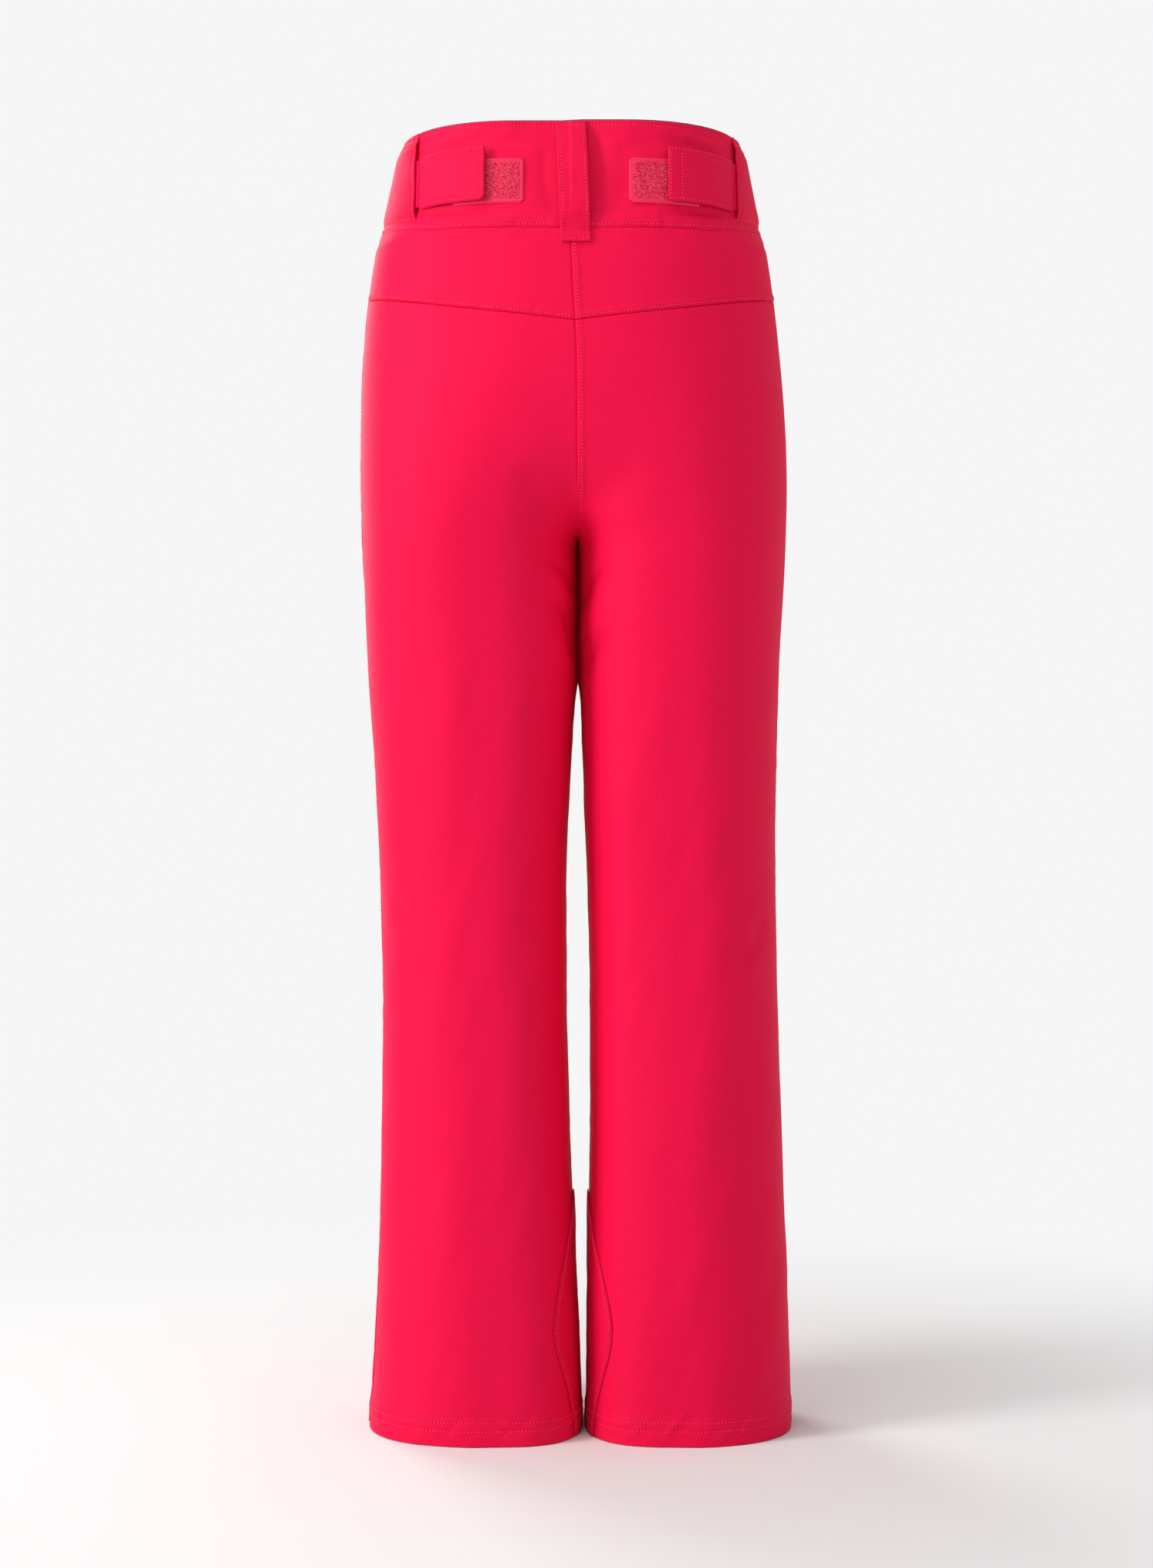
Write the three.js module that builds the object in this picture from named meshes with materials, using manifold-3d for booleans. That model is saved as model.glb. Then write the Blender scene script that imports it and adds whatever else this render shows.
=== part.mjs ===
// Women's insulated ski pants, standing as worn, in millimetres.
// +Z is up, the wearer faces -Y, the wearer's left side is +X. The hems stand on z = 0.
import * as THREE from "three";
import Module from "manifold-3d";

const wasm = await Module();
wasm.setup();

// ---------------------------------------------------------------- driving dimensions
const HEIGHT = 1030; // top of the waistband at the back
const CROTCH_Z = 708; // where the seat seam meets the inseams
const CLOTH = 1.3; // outer shell fabric with its backing
const GAP = 0.4; // clearance between neighbouring pieces
const BAND_TOP_FRONT = 1007; // waistband top edge at the centre front
const BAND_OUT = -3.6; // outer face of the waistband, from the reference surface
const TUNNEL_OUT = 0.2; // outer face of the adjuster tunnel
const TUNNEL_X = 127; // distance of the tunnel mouth from the centre back
const TAB_END_X = 70; // distance of the tab's free end from the centre back
const PATCH_X = [40.5, 97]; // loop patch
const BACK_FLAT = 44.5; // half width of the flat across the back waist; the rest is a round arc the straps slide along
const FEED = 20; // travel of each strap, along that arc
const PATCH_Z = [963, 999.5];
const TAB_Z = [964, 1007.5];
const LOOP_W = 23.5; // belt loop width
const GUARD_H = 187; // scuff guard height
const SNAPS = [[13, 968], [13, 992]]; // x, z of the two snaps
const OVER_X = 32; // free end of the waistband overlap and the fly cover
const HINGE_X = -37.6; // where both bend
const ZIP_X = -20; // fly zip
const FLY_Z = [800, 950];
const POCKET_Z = [796, 926]; // ends of the pocket zips
const POCKET_T = [0.645, 0.72]; // their place round the body, top and bottom

// ---------------------------------------------------------------- tables, by height z
// outer and inner edge of each leg, and of the hips above the crotch
const OUT_L = [[0,166.9],[31.5,164.8],[93.7,161.1],[155.9,158.6],[218,156.7],[280,156.1],[342,156.1],[405,157.3],[467,159.8],[529,162.9],[591,166.7],[653,169.8],[716,172.9],[778,174.1],[840,172.9],[871,170.6],[902,167.6],[933,162.7],[964,156.3],[995.5,149.3],[1030,142.3]];
const OUT_R = [[0,173.6],[31.5,172.9],[93.7,171],[155.9,168.5],[218,166],[280,163.8],[342,161.9],[405,160.7],[467,160.3],[529,161],[591,162.4],[653,165.6],[716,168.5],[750,169.2],[778,168.6],[809,167],[840,164.9],[871,162.3],[902,158.9],[933,154],[964,147.8],[995.5,141.3],[1030,135]];
const IN_L = [[0,-2.5],[31.5,-1.9],[93.7,0.6],[156,2.7],[218,5],[280,6.8],[342,8],[405,8.6],[467,7.6],[498,6.2],[529,4.4],[560,2.4],[591,0.3],[650,-0.3],[708,-0.4]];
const IN_R = [[0,-9.3],[31.5,-9.4],[93.7,-9.9],[156,-10.2],[218,-10.7],[280,-11.2],[342,-11],[405,-9.6],[467,-7.5],[498,-6.2],[529,-5],[560,-3.8],[591,-2.6],[650,-1.8],[708,-1.6]];
const SEAM_X = [[0,-1],[708,-1],[788,-0.6],[845,-0.2],[870,1],[885,1.9],[930,4],[1030,5]];
const BACK_Y = [[0,86],[60,84],[150,82],[250,80],[330,78.5],[430,79],[500,84],[585,93],[650,100],[708,108],[750,115],[790,120.5],[830,122.5],[870,120.5],[910,115.5],[945,109.5],[985,103],[1030,96]];
const FRONT_Y = [[0,85],[60,82],[150,79.5],[250,78.5],[330,80],[430,84],[500,88.5],[585,94],[650,99],[708,104],[750,107],[770,108.5],[830,106.077],[890,103.654],[950,101.231],[1030,98]];
const N_BACK_OUT = [[0,2.35],[300,2.25],[600,2.25],[850,2.35],[900,2.5],[950,2.7],[1030,2.8]];
const N_BACK_IN = [[0,2.9],[300,2.6],[585,2.7],[708,2.7],[800,2.4],[900,2.5],[950,2.7],[1030,2.8]];
const N_FRONT = [[0,2.4],[300,2.25],[600,2.25],[850,2.3],[950,2.4],[1030,2.5]];
const SKEW_L = [[0,14],[200,8],[480,0],[1030,0]];
const SKEW_R = [[0,10],[200,6],[480,0],[1030,0]];

function table(tab, z) { // shape-preserving cubic
  const n = tab.length;
  if (z <= tab[0][0]) return tab[0][1];
  if (z >= tab[n - 1][0]) return tab[n - 1][1];
  if (!tab.m) {
    const d = [], m = [];
    for (let i = 0; i < n - 1; i++) d.push((tab[i + 1][1] - tab[i][1]) / (tab[i + 1][0] - tab[i][0]));
    for (let i = 0; i < n; i++) {
      if (i === 0) m.push(d[0]);
      else if (i === n - 1) m.push(d[n - 2]);
      else if (d[i - 1] * d[i] <= 0) m.push(0);
      else {
        const a = tab[i][0] - tab[i - 1][0], b = tab[i + 1][0] - tab[i][0];
        const w1 = 2 * b + a, w2 = b + 2 * a;
        m.push((w1 + w2) / (w1 / d[i - 1] + w2 / d[i]));
      }
    }
    tab.m = m;
  }
  let i = 0;
  while (z > tab[i + 1][0]) i++;
  const h = tab[i + 1][0] - tab[i][0], s = (z - tab[i][0]) / h;
  const s2 = s * s, s3 = s2 * s;
  return (2 * s3 - 3 * s2 + 1) * tab[i][1] + (s3 - 2 * s2 + s) * h * tab.m[i] + (-2 * s3 + 3 * s2) * tab[i + 1][1] + (s3 - s2) * h * tab.m[i + 1];
}
const clamp = (x, a, b) => Math.min(b, Math.max(a, x));
const smooth = (x) => { x = clamp(x, 0, 1); return x * x * (3 - 2 * x); };
const lerp = (a, b, k) => a + (b - a) * k;

// ---------------------------------------------------------------- the reference surface
// One side's ring at height z: from the centre back (or inseam) round the outside to the centre front (or inseam).
const RING = 120; // samples per half
const rings = new Map();
function ring(side, z) {
  const key = side + ":" + z.toFixed(3);
  if (rings.has(key)) return rings.get(key);
  const seam = table(SEAM_X, z);
  const W = side > 0 ? table(OUT_L, z) - seam : table(OUT_R, z) + seam;
  const above = z > CROTCH_Z;
  const G = above ? 0 : side > 0 ? table(IN_L, z) - seam : seam - table(IN_R, z);
  const skew = table(side > 0 ? SKEW_L : SKEW_R, z);
  const half = (back) => {
    const round = back ? smooth((z - 938) / 18) : 0;
    const b = back ? lerp(table(BACK_Y, z), W - BACK_FLAT, round) : table(FRONT_Y, z);
    const nOut = back ? table(N_BACK_OUT, z) : table(N_FRONT, z);
    const nIn = back ? table(N_BACK_IN, z) : table(N_FRONT, z);
    let cx, aOut, aIn, kappa = 1;
    if (above) {
      const hi = back ? 905 : 860, p = back ? 1.6 : 2;
      kappa = Math.pow(clamp((hi - z) / (hi - CROTCH_Z), 0, 1), p);
      cx = (kappa * W) / (1 + kappa);
      aOut = W - cx;
      aIn = kappa > 1e-6 ? cx / kappa : W;
    } else {
      cx = (W + G) / 2 - skew;
      aOut = W - cx;
      aIn = cx - G;
    }
    const r = above ? (back ? 26 : 16) * smooth((z - CROTCH_Z) / 85) : 0;
    const f = (x) => {
      const xe = r > 0 ? Math.sqrt(x * x + r * r * (1 - (x / W) * (x / W))) : x;
      const q = xe < cx ? Math.pow(clamp((cx - xe) / aIn, 0, 1), nIn) : Math.pow(clamp((xe - cx) / aOut, 0, 1), nOut);
      return b * Math.pow(Math.max(0, 1 - q), 1 / (xe < cx ? nIn : nOut));
    };
    const pts = [];
    const phi0 = above ? Math.acos(clamp(Math.pow(kappa, nIn / 2), 0, 1)) : 0;
    // inner part, where x runs from the seam (or inseam) to cx, then the outer part to the side
    const nInS = cx > 1e-6 ? RING / 2 : 0;
    for (let i = 0; i <= nInS; i++) {
      const phi = lerp(phi0, Math.PI / 2, nInS ? i / nInS : 1);
      let x = cx - aIn * Math.pow(Math.cos(phi), 2 / nIn);
      if (i === 0) x = above ? 0 : G;
      if (i === nInS) x = cx;
      pts.push([x, r > 0 ? f(x) : b * Math.pow(Math.sin(phi), 2 / nIn)]);
    }
    const nOutS = RING - nInS;
    for (let i = 1; i <= nOutS; i++) {
      const phi = (i / nOutS) * Math.PI / 2;
      const x = cx + aOut * Math.pow(Math.sin(phi), 2 / nOut);
      pts.push([x, r > 0 ? f(x) : b * Math.pow(Math.max(0, Math.cos(phi)), 2 / nOut)]);
    }
    pts[pts.length - 1] = [W, 0];
    if (round > 0) for (const p of pts) {
      const y = p[0] < BACK_FLAT ? b : Math.sqrt(Math.max(0, b * b - (p[0] - BACK_FLAT) ** 2));
      p[1] = lerp(p[1], y, round);
    }
    const s = [0];
    for (let i = 1; i < pts.length; i++) s.push(s[i - 1] + Math.hypot(pts[i][0] - pts[i - 1][0], pts[i][1] - pts[i - 1][1]));
    return { pts, s };
  };
  const made = { back: half(true), front: half(false), seam };
  rings.set(key, made);
  return made;
}
function along(h, d) { // point at arc length d
  const { pts, s } = h;
  const L = s[s.length - 1];
  d = clamp(d, 0, L);
  let lo = 0, hi = s.length - 1;
  while (hi - lo > 1) { const m = (lo + hi) >> 1; if (s[m] <= d) lo = m; else hi = m; }
  const k = s[hi] > s[lo] ? (d - s[lo]) / (s[hi] - s[lo]) : 0;
  return [lerp(pts[lo][0], pts[hi][0], k), lerp(pts[lo][1], pts[hi][1], k)];
}
// U in (-1, 1]: 0 is the centre back, +0.5 the wearer's left side, +-1 the centre front. Past 1 it runs on round.
function P(U, z) {
  if (U > 1) U -= 2;
  if (U < -1) U += 2;
  const side = U >= 0 ? 1 : -1, t = Math.abs(U);
  const g = ring(side, z);
  const h = t <= 0.5 ? g.back : g.front;
  const L = h.s[h.s.length - 1];
  const p = along(h, t <= 0.5 ? (t / 0.5) * L : ((1 - t) / 0.5) * L);
  return new THREE.Vector3(g.seam + side * p[0], t <= 0.5 ? p[1] : -p[1], z);
}
function normal(U, z) {
  const e = 0.004, dz = 2;
  let a = U - e, b = U + e;
  const t = Math.abs(U), open = z > CROTCH_Z ? 0 : 1;
  if (open) { // each leg is its own loop
    const s = U >= 0 ? 1 : -1;
    const w = (v) => (v < 0 ? 1 + v : v > 1 ? v - 1 : v);
    const pa = P(s * Math.max(1e-9, w(t - e)), z), pb = P(s * Math.max(1e-9, w(t + e)), z);
    const tu = pb.sub(pa).multiplyScalar(s);
    const tz = P(U, Math.min(CROTCH_Z, z + dz)).sub(P(U, z - dz));
    return tu.cross(tz).normalize().negate();
  }
  const tu = P(b, z).sub(P(a, z));
  const tz = P(U, z + dz).sub(P(U, Math.max(CROTCH_Z + 0.01, z - dz)));
  return tu.cross(tz).normalize().negate();
}
const S = (U, z, o) => { const n = normal(U, z); return P(U, z).addScaledVector(n, o); };
// arc length of one half ring, and the U that lies dx from the centre back or front along x
const halfLen = (side, z, back) => { const h = back ? ring(side, z).back : ring(side, z).front; return h.s[h.s.length - 1]; };
function uAtX(x, z, back) {
  const side = x >= table(SEAM_X, z) ? 1 : -1;
  let lo = 0, hi = 0.5;
  for (let i = 0; i < 40; i++) {
    const m = (lo + hi) / 2, p = P(back ? side * m : side * (1 - m), z);
    if (side * p.x < side * x) lo = m; else hi = m;
  }
  return back ? side * (lo + hi) / 2 : side * (1 - (lo + hi) / 2);
}

// ---------------------------------------------------------------- seam lines, by t = |U|
const Z_TOP = [[0,1030],[0.3,1030],[0.5,1029],[0.65,1022],[0.82,1011],[1,BAND_TOP_FRONT]];
const Z_WAIST = [[0,942],[0.227,943.4],[0.34,948.5],[0.5,955],[0.7,955.5],[1,953]];
const Z_YOKE = [[0,870],[0.16,879.6],[0.29,889.4],[0.365,895.3],[0.43,899.5],[0.5,904]];
const wrapT = (U) => { const u = U > 1 ? 2 - U : U < -1 ? 2 + U : Math.abs(U); return u; };
const zTop = (U) => table(Z_TOP, wrapT(U));
const zWaist = (U) => table(Z_WAIST, wrapT(U));
const zYoke = (U) => table(Z_YOKE, wrapT(U));

// ---------------------------------------------------------------- solid helpers
const root = new THREE.Group();
const fabric = (color, rough = 0.8) => new THREE.MeshStandardMaterial({ color, roughness: rough, metalness: 0 });
const SHELL = fabric(0xe8143f), TRIM = fabric(0xd9123a), LINING = fabric(0x8a8794, 0.7), MESHY = fabric(0x77747f, 0.85), HOOK = fabric(0xd01f45, 0.95), ELASTIC = fabric(0x2a2a2e, 0.9);
const METAL = new THREE.MeshStandardMaterial({ color: 0xc8c9cc, roughness: 0.3, metalness: 1 });
const COIL = new THREE.MeshStandardMaterial({ color: 0xd81a40, roughness: 0.45, metalness: 0 });
function meshOf(name, pos, idx, mat, parent = root) {
  const g = new THREE.BufferGeometry();
  g.setAttribute("position", new THREE.Float32BufferAttribute(pos, 3));
  // faces pointing out
  let v = 0;
  for (let i = 0; i < idx.length; i += 3) {
    const [a, b, c] = [idx[i] * 3, idx[i + 1] * 3, idx[i + 2] * 3];
    v += pos[a] * (pos[b + 1] * pos[c + 2] - pos[b + 2] * pos[c + 1]) - pos[a + 1] * (pos[b] * pos[c + 2] - pos[b + 2] * pos[c]) + pos[a + 2] * (pos[b] * pos[c + 1] - pos[b + 1] * pos[c]);
  }
  if (v < 0) for (let i = 0; i < idx.length; i += 3) [idx[i + 1], idx[i + 2]] = [idx[i + 2], idx[i + 1]];
  g.setIndex(idx);
  g.computeVertexNormals();
  const m = new THREE.Mesh(g, mat);
  m.name = name;
  parent.add(m);
  return m;
}
// closed solid between two grids of points, outer(i, j) and inner(i, j), i = 0..nu, j = 0..nv
function slab(name, nu, nv, outer, inner, mat, parent) {
  const pos = [], idx = [], w = nu + 1, n = w * (nv + 1);
  for (const f of [outer, inner]) for (let j = 0; j <= nv; j++) for (let i = 0; i <= nu; i++) { const p = f(i, j); pos.push(p.x, p.y, p.z); }
  const q = (a, b, c, d) => idx.push(a, b, c, a, c, d);
  for (let j = 0; j < nv; j++) for (let i = 0; i < nu; i++) {
    const a = j * w + i;
    q(a, a + 1, a + 1 + w, a + w);
    q(n + a, n + a + w, n + a + 1 + w, n + a + 1);
  }
  for (let i = 0; i < nu; i++) {
    q(i, n + i, n + i + 1, i + 1);
    const a = nv * w + i;
    q(a, a + 1, n + a + 1, n + a);
  }
  for (let j = 0; j < nv; j++) {
    const a = j * w, b = j * w + nu;
    q(a, a + w, n + a + w, n + a);
    q(b, n + b, n + b + w, b + w);
  }
  return meshOf(name, pos, idx, mat, parent);
}
// fabric patch on the surface: U from u0(z) to u1(z), rows of heights by U, offsets o0 (inner) < o1 (outer), each a number or f(U, z)
const val = (f, ...a) => (typeof f === "function" ? f(...a) : f);
function patch(name, u0, u1, nu, rows, o0, o1, mat, parent) {
  const at = (i, j, o) => {
    const k = i / nu;
    let z = val(rows[j], lerp(val(u0, CROTCH_Z), val(u1, CROTCH_Z), k));
    const U = lerp(val(u0, z), val(u1, z), k);
    z = val(rows[j], U);
    const p = S(U, z, val(o, U, z));
    if (z < 1) p.z = z;
    return p;
  };
  return slab(name, nu, rows.length - 1, (i, j) => at(i, j, o1), (i, j) => at(i, j, o0), mat, parent);
}
const between = (zA, zB, n, skipLast = 0) => Array.from({ length: n + 1 - skipLast }, (_, k) => (U) => lerp(val(zA, U), val(zB, U), k / n));

// ---------------------------------------------------------------- manifold helpers
const { Manifold } = wasm;
function solidFrom(mesh) {
  const g = mesh.geometry, pos = g.getAttribute("position"), idx = g.index.array;
  const map = new Map(), vert = [], tri = [];
  const key = (i) => {
    const k = [pos.getX(i), pos.getY(i), pos.getZ(i)].map((v) => Math.round(v * 1e4)).join(",");
    if (!map.has(k)) { map.set(k, vert.length / 3); vert.push(pos.getX(i), pos.getY(i), pos.getZ(i)); }
    return map.get(k);
  };
  for (let i = 0; i < idx.length; i += 3) {
    const t = [key(idx[i]), key(idx[i + 1]), key(idx[i + 2])];
    if (t[0] !== t[1] && t[1] !== t[2] && t[0] !== t[2]) tri.push(...t);
  }
  return new Manifold(new wasm.Mesh({ numProp: 3, vertProperties: new Float32Array(vert), triVerts: new Uint32Array(tri) }));
}
function addSolid(name, m, mat) {
  const q = m.getMesh(), pos = [];
  for (let i = 0; i < q.numVert; i++) pos.push(q.vertProperties[i * q.numProp], q.vertProperties[i * q.numProp + 1], q.vertProperties[i * q.numProp + 2]);
  return meshOf(name, pos, Array.from(q.triVerts), mat);
}
// box between two corners in a frame given by origin and three unit vectors
function box(fr, lo, hi) {
  const c = Manifold.cube([hi[0] - lo[0], hi[1] - lo[1], hi[2] - lo[2]], false).translate(lo);
  const { o, x, y, z } = fr;
  return c.transform([x.x, x.y, x.z, 0, y.x, y.y, y.z, 0, z.x, z.y, z.z, 0, o.x, o.y, o.z, 1]);
}
function disc(fr, r, h0, h1, seg = 16) { // along the frame's y (outwards)
  const c = Manifold.cylinder(h1 - h0, r, r, seg, false).translate([0, 0, h0]);
  const { o, x, y, z } = fr;
  return c.transform([z.x, z.y, z.z, 0, x.x, x.y, x.z, 0, y.x, y.y, y.z, 0, o.x, o.y, o.z, 1]);
}
// a frame along a zip: z up the chain, y out of the body, x across
function zipFrame(a, b, out) {
  const z = b.clone().sub(a).normalize();
  const x = out.clone().cross(z).normalize();
  const y = z.clone().cross(x).normalize();
  return { o: a.clone(), x, y, z };
}
const at = (fr, d) => ({ ...fr, o: fr.o.clone().addScaledVector(fr.z, d) });
// tape and coil of one zip as one piece, joined at its bottom stop; y = 0 is the coil's outer face
function zipTape(fr, L, wide) {
  const half = (s) => {
    const lo = Math.min(s * 0.8, s * wide), hi = Math.max(s * 0.8, s * wide);
    const cl = Math.min(s * 0.8, s * 3), ch = Math.max(s * 0.8, s * 3);
    return box(fr, [lo, -2.9, -6], [hi, -2.1, L]).add(box(fr, [cl, -2.2, 0], [ch, 0, L]));
  };
  return half(1).add(half(-1)).add(box(fr, [-3.4, -2.9, -6], [3.4, 0.3, -1.5])); // stop joins both halves
}
function zipSlider(fr, lift) { // lift raises the bridge that holds the pull
  return box(fr, [-4.2, 0.3, -6], [4.2, 1.4, 5])
    .add(box(fr, [-4.2, -4.2, -6], [4.2, -3.2, 5]))
    .add(box(fr, [-0.5, -3.3, 1.2], [0.5, 0.4, 5]))
    .add(box(fr, [-0.9, 1.3, -4.4], [0.9, 4 + lift, -3.2]))
    .add(box(fr, [-0.9, 1.3, 2], [0.9, 4 + lift, 3.2]))
    .add(box(fr, [-0.9, 3 + lift, -4.4], [0.9, 4 + lift, 3.2]));
}
function zipPull(fr, lift) {
  const l = lift;
  const { o, x, y, z } = fr, c = o.clone().addScaledVector(y, 2.2 + l).addScaledVector(z, 0.9).addScaledVector(x, -3.4);
  const bar = Manifold.cylinder(6.8, 0.5, 0.5, 16, false).transform([y.x, y.y, y.z, 0, z.x, z.y, z.z, 0, x.x, x.y, x.z, 0, c.x, c.y, c.z, 1]);
  return bar
    .add(box(fr, [1.6, 1.75 + l, -8], [3.4, 2.65 + l, 1.4]))
    .add(box(fr, [-3.4, 1.75 + l, -8], [-1.6, 2.65 + l, 1.4]))
    .add(box(fr, [-3.6, 1.6 + l, -30], [3.6, 2.9 + l, -7]));
}

// ================================================================ outer shell
const both = [["left", 1], ["right", -1]];
const eps = (side, z, back) => (GAP / 2) / (2 * halfLen(side, z, back)); // half a gap, in U
const LEG_ROWS = [0, 22, 70, 130, 190, 260, 335, 410, 480, 550, 615, 670, CROTCH_Z, 712, 720, 735, 760, 800, 840];
// U of column k (0 at the side seam, 1 at the centre), at a distance from the side seam that changes slowly past the crotch
function colU(s, back, k, z) {
  const L = halfLen(s, z, back), Lc = halfLen(s, CROTCH_Z, back);
  if (z <= CROTCH_Z) return s * (back ? 0.5 * (1 - k) : 0.5 + 0.5 * k);
  const held = Math.min(k * Lc, L - (1 - k) * 12);
  const e = lerp(held, k * L, smooth((z - 722) / 75));
  return s * (back ? 0.5 * (1 - e / L) : 0.5 + (0.5 * e) / L);
}
// as patch, with the columns given as U(k, z)
function patchBy(name, uAt, nu, rows, o0, o1, mat) {
  const put = (i, j, o) => {
    let z = val(rows[j], uAt(i / nu, 900));
    const U = uAt(i / nu, z);
    z = val(rows[j], U);
    const p = S(U, z, val(o, U, z));
    if (z < 1) p.z = z; // level hem
    return p;
  };
  return slab(name, nu, rows.length - 1, (i, j) => put(i, j, o1), (i, j) => put(i, j, o0), mat);
}
const past = (s, x, z) => { const u = uAtX(x, z, false); return s > 0 ? (u < 0 ? 2 + u : u) : u < 0 ? u : u - 2; };
const pocketT = (z) => lerp(POCKET_T[1], POCKET_T[0], clamp((z - POCKET_Z[0]) / (POCKET_Z[1] - POCKET_Z[0]), -0.2, 1.2));
const pockets = {};
for (const [sd, s] of both) {
  const a = P(s * pocketT(POCKET_Z[0]), POCKET_Z[0]), b = P(s * pocketT(POCKET_Z[1]), POCKET_Z[1]);
  const zm = (POCKET_Z[0] + POCKET_Z[1]) / 2, n = normal(s * pocketT(zm), zm);
  const bulge = P(s * pocketT(zm), zm).sub(a.clone().add(b).multiplyScalar(0.5)).dot(n);
  const fr = zipFrame(a, b, n);
  fr.o.addScaledVector(fr.y, bulge * 0.5 - 2.2);
  pockets[sd] = { fr, L: a.distanceTo(b), bulge };
}
for (const [sd, s] of both) {
  const yokeEdge = (U) => zYoke(U) - GAP / 2;
  // back leg panel, from the yoke seam to the hem
  const trim = (U, z, back) => { const e = eps(s, z, back), t = Math.abs(U); return s * (back ? clamp(t, e, 0.5 - e) : clamp(t, 0.5 + e, 1 - e)); };
  patchBy(`back_leg_${sd}`, (k, z) => trim(colU(s, true, 1 - k, z), z, true), 12, [...LEG_ROWS, yokeEdge], -CLOTH, 0, SHELL);
  // front leg panel, from the waistband seam to the hem; cut back at the fly, slit for the pocket zip
  const frontEdge = (z) => {
    const clear = eps(s, z, false);
    if (z <= 778) return s * (1 - clear);
    return lerp(s * (1 - clear), past(s, s > 0 ? ZIP_X + 5.2 : HINGE_X - 0.6, z), smooth((z - 778) / 14));
  };
  const frontU = (k, z) => {
    const e = eps(s, z, false), u = colU(s, false, k, z), edge = frontEdge(z);
    const u0 = s * (0.5 + e), u1 = s * 1;
    return u0 + ((u - s * 0.5) / (u1 - s * 0.5)) * (edge - u0); // stretched to the cut front edge
  };
  const front = patchBy(`front_leg_${sd}`, frontU, 12, [...LEG_ROWS.slice(0, -2), 779, 793, 840, (U) => lerp(840, zWaist(U) - GAP / 2, 0.5), (U) => zWaist(U) - GAP / 2], -CLOTH, 0, SHELL);
  const k = pockets[sd];
  const slit = box(k.fr, [-4.9, -9, -6.5], [4.9, 12, k.L + 2]);
  const cut = solidFrom(front).subtract(slit);
  root.remove(front);
  addSolid(`front_leg_${sd}`, cut, SHELL);
  addSolid(`pocket_zip_tape_${sd}`, zipTape(k.fr, k.L, 8.5).subtract(box(k.fr, [-20, -9, k.L - 1], [20, 9, k.L + 9])), COIL);
  const sl = at(k.fr, k.L - 8);
  addSolid(`pocket_slider_${sd}`, zipSlider(sl, 1.4), METAL);
  addSolid(`pocket_pull_${sd}`, zipPull(sl, 1.4), TRIM);
  k.slider = sl;
  // pocket bag: two layers folded at the front, sewn along the bottom, open to the zip
  {
    const rows = [742, 748, 775, 800, 830, 860, 890, 915, 928];
    const path = (z) => { // t and offset round the bag's cross section, from the zip's back edge to its front edge
      const t0 = pocketT(clamp(z, POCKET_Z[0], POCKET_Z[1]));
      const w = 0.17 * Math.sqrt(clamp((z - 735) / 45, 0.05, 1));
      const low = z < 790;
      const oA = -8.6, oB = low ? -9.55 - 3.65 * smooth((z - 745) / 40) : -13.2;
      return [[t0 - 0.012, oA - 0.4], [t0 - 0.016, oB + 1], [t0, oB], [t0 + w * 0.33, oB], [t0 + w * 0.66, oB], [t0 + w - 0.004, oB], [t0 + w, (oA + oB) / 2], [t0 + w - 0.004, oA], [t0 + w * 0.66, oA], [t0 + w * 0.33, oA], [t0 + 0.04, oA]];
    };
    const nu = 10;
    const mk = (th) => (i, j) => {
      const z = rows[j], q = path(z);
      const U = s * q[i][0];
      const pt = (m) => S(s * q[m][0], z, q[m][1]);
      const c = pt(i), p0 = pt(Math.max(0, i - 1)), p1 = pt(Math.min(nu, i + 1));
      const tan = p1.clone().sub(p0).setZ(0).normalize();
      const nn = new THREE.Vector3(tan.y, -tan.x, 0);
      return c.addScaledVector(nn, th);
    };
    slab(`pocket_bag_${sd}`, nu, rows.length - 1, mk(0.4), mk(-0.4), LINING);
  }
  // back yoke
  patch(`back_yoke_${sd}`, (z) => s * eps(s, z, true), (z) => s * (0.5 - eps(s, z, true)), 12, between((U) => zYoke(U) + GAP / 2, (U) => zWaist(U) - GAP / 2, 3), -CLOTH, 0, SHELL);
  // lining, brushed polyester with thin wadding; stops at the gaiter and short of the fly
  const linFront = (z) => s * lerp(1 - eps(s, z, false), 0.895, smooth((z - 735) / 30));
  const linOut = (U, z) => -3.4 - 12.4 * smooth((z - 700) / 60) * smooth((Math.abs(U) - 0.53) / 0.08) * (1 - smooth((z - 930) / 8));
  const linU = (k, z) => {
    if (k <= 0.5) return trim(colU(s, true, 1 - 2 * k, z), z, true);
    const u = colU(s, false, 2 * k - 1, z), edge = linFront(z);
    return s * 0.5 + ((u - s * 0.5) / (s * 0.5)) * (edge - s * 0.5);
  };
  patchBy(`lining_${sd}`, linU, 24, [130, 190, 260, 335, 410, 480, 550, 615, 670, CROTCH_Z, 712, 720, 735, 765, 800, 850, 900, 930, (U) => zWaist(U) - 8], (U, z) => linOut(U, z) - 0.8, linOut, LINING);
  // turned hem, snow gaiter and its elastic
  patch(`hem_facing_${sd}`, (z) => s * eps(s, z, true), (z) => s * (1 - eps(s, z, false)), 24, [0.3, 22], -2.5, -1.7, TRIM);
  const gOff = (U, z) => lerp(-20, -5, smooth((z - 35) / 85));
  patch(`gaiter_${sd}`, (z) => s * eps(s, z, true), (z) => s * (1 - eps(s, z, false)), 24, [12, 38, 60, 85, 105, 124], (U, z) => gOff(U, z) - 0.8, gOff, LINING);
  patch(`gaiter_elastic_${sd}`, (z) => s * eps(s, z, true), (z) => s * (1 - eps(s, z, false)), 24, [13, 37], -22.8, -21.6, ELASTIC);
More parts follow.
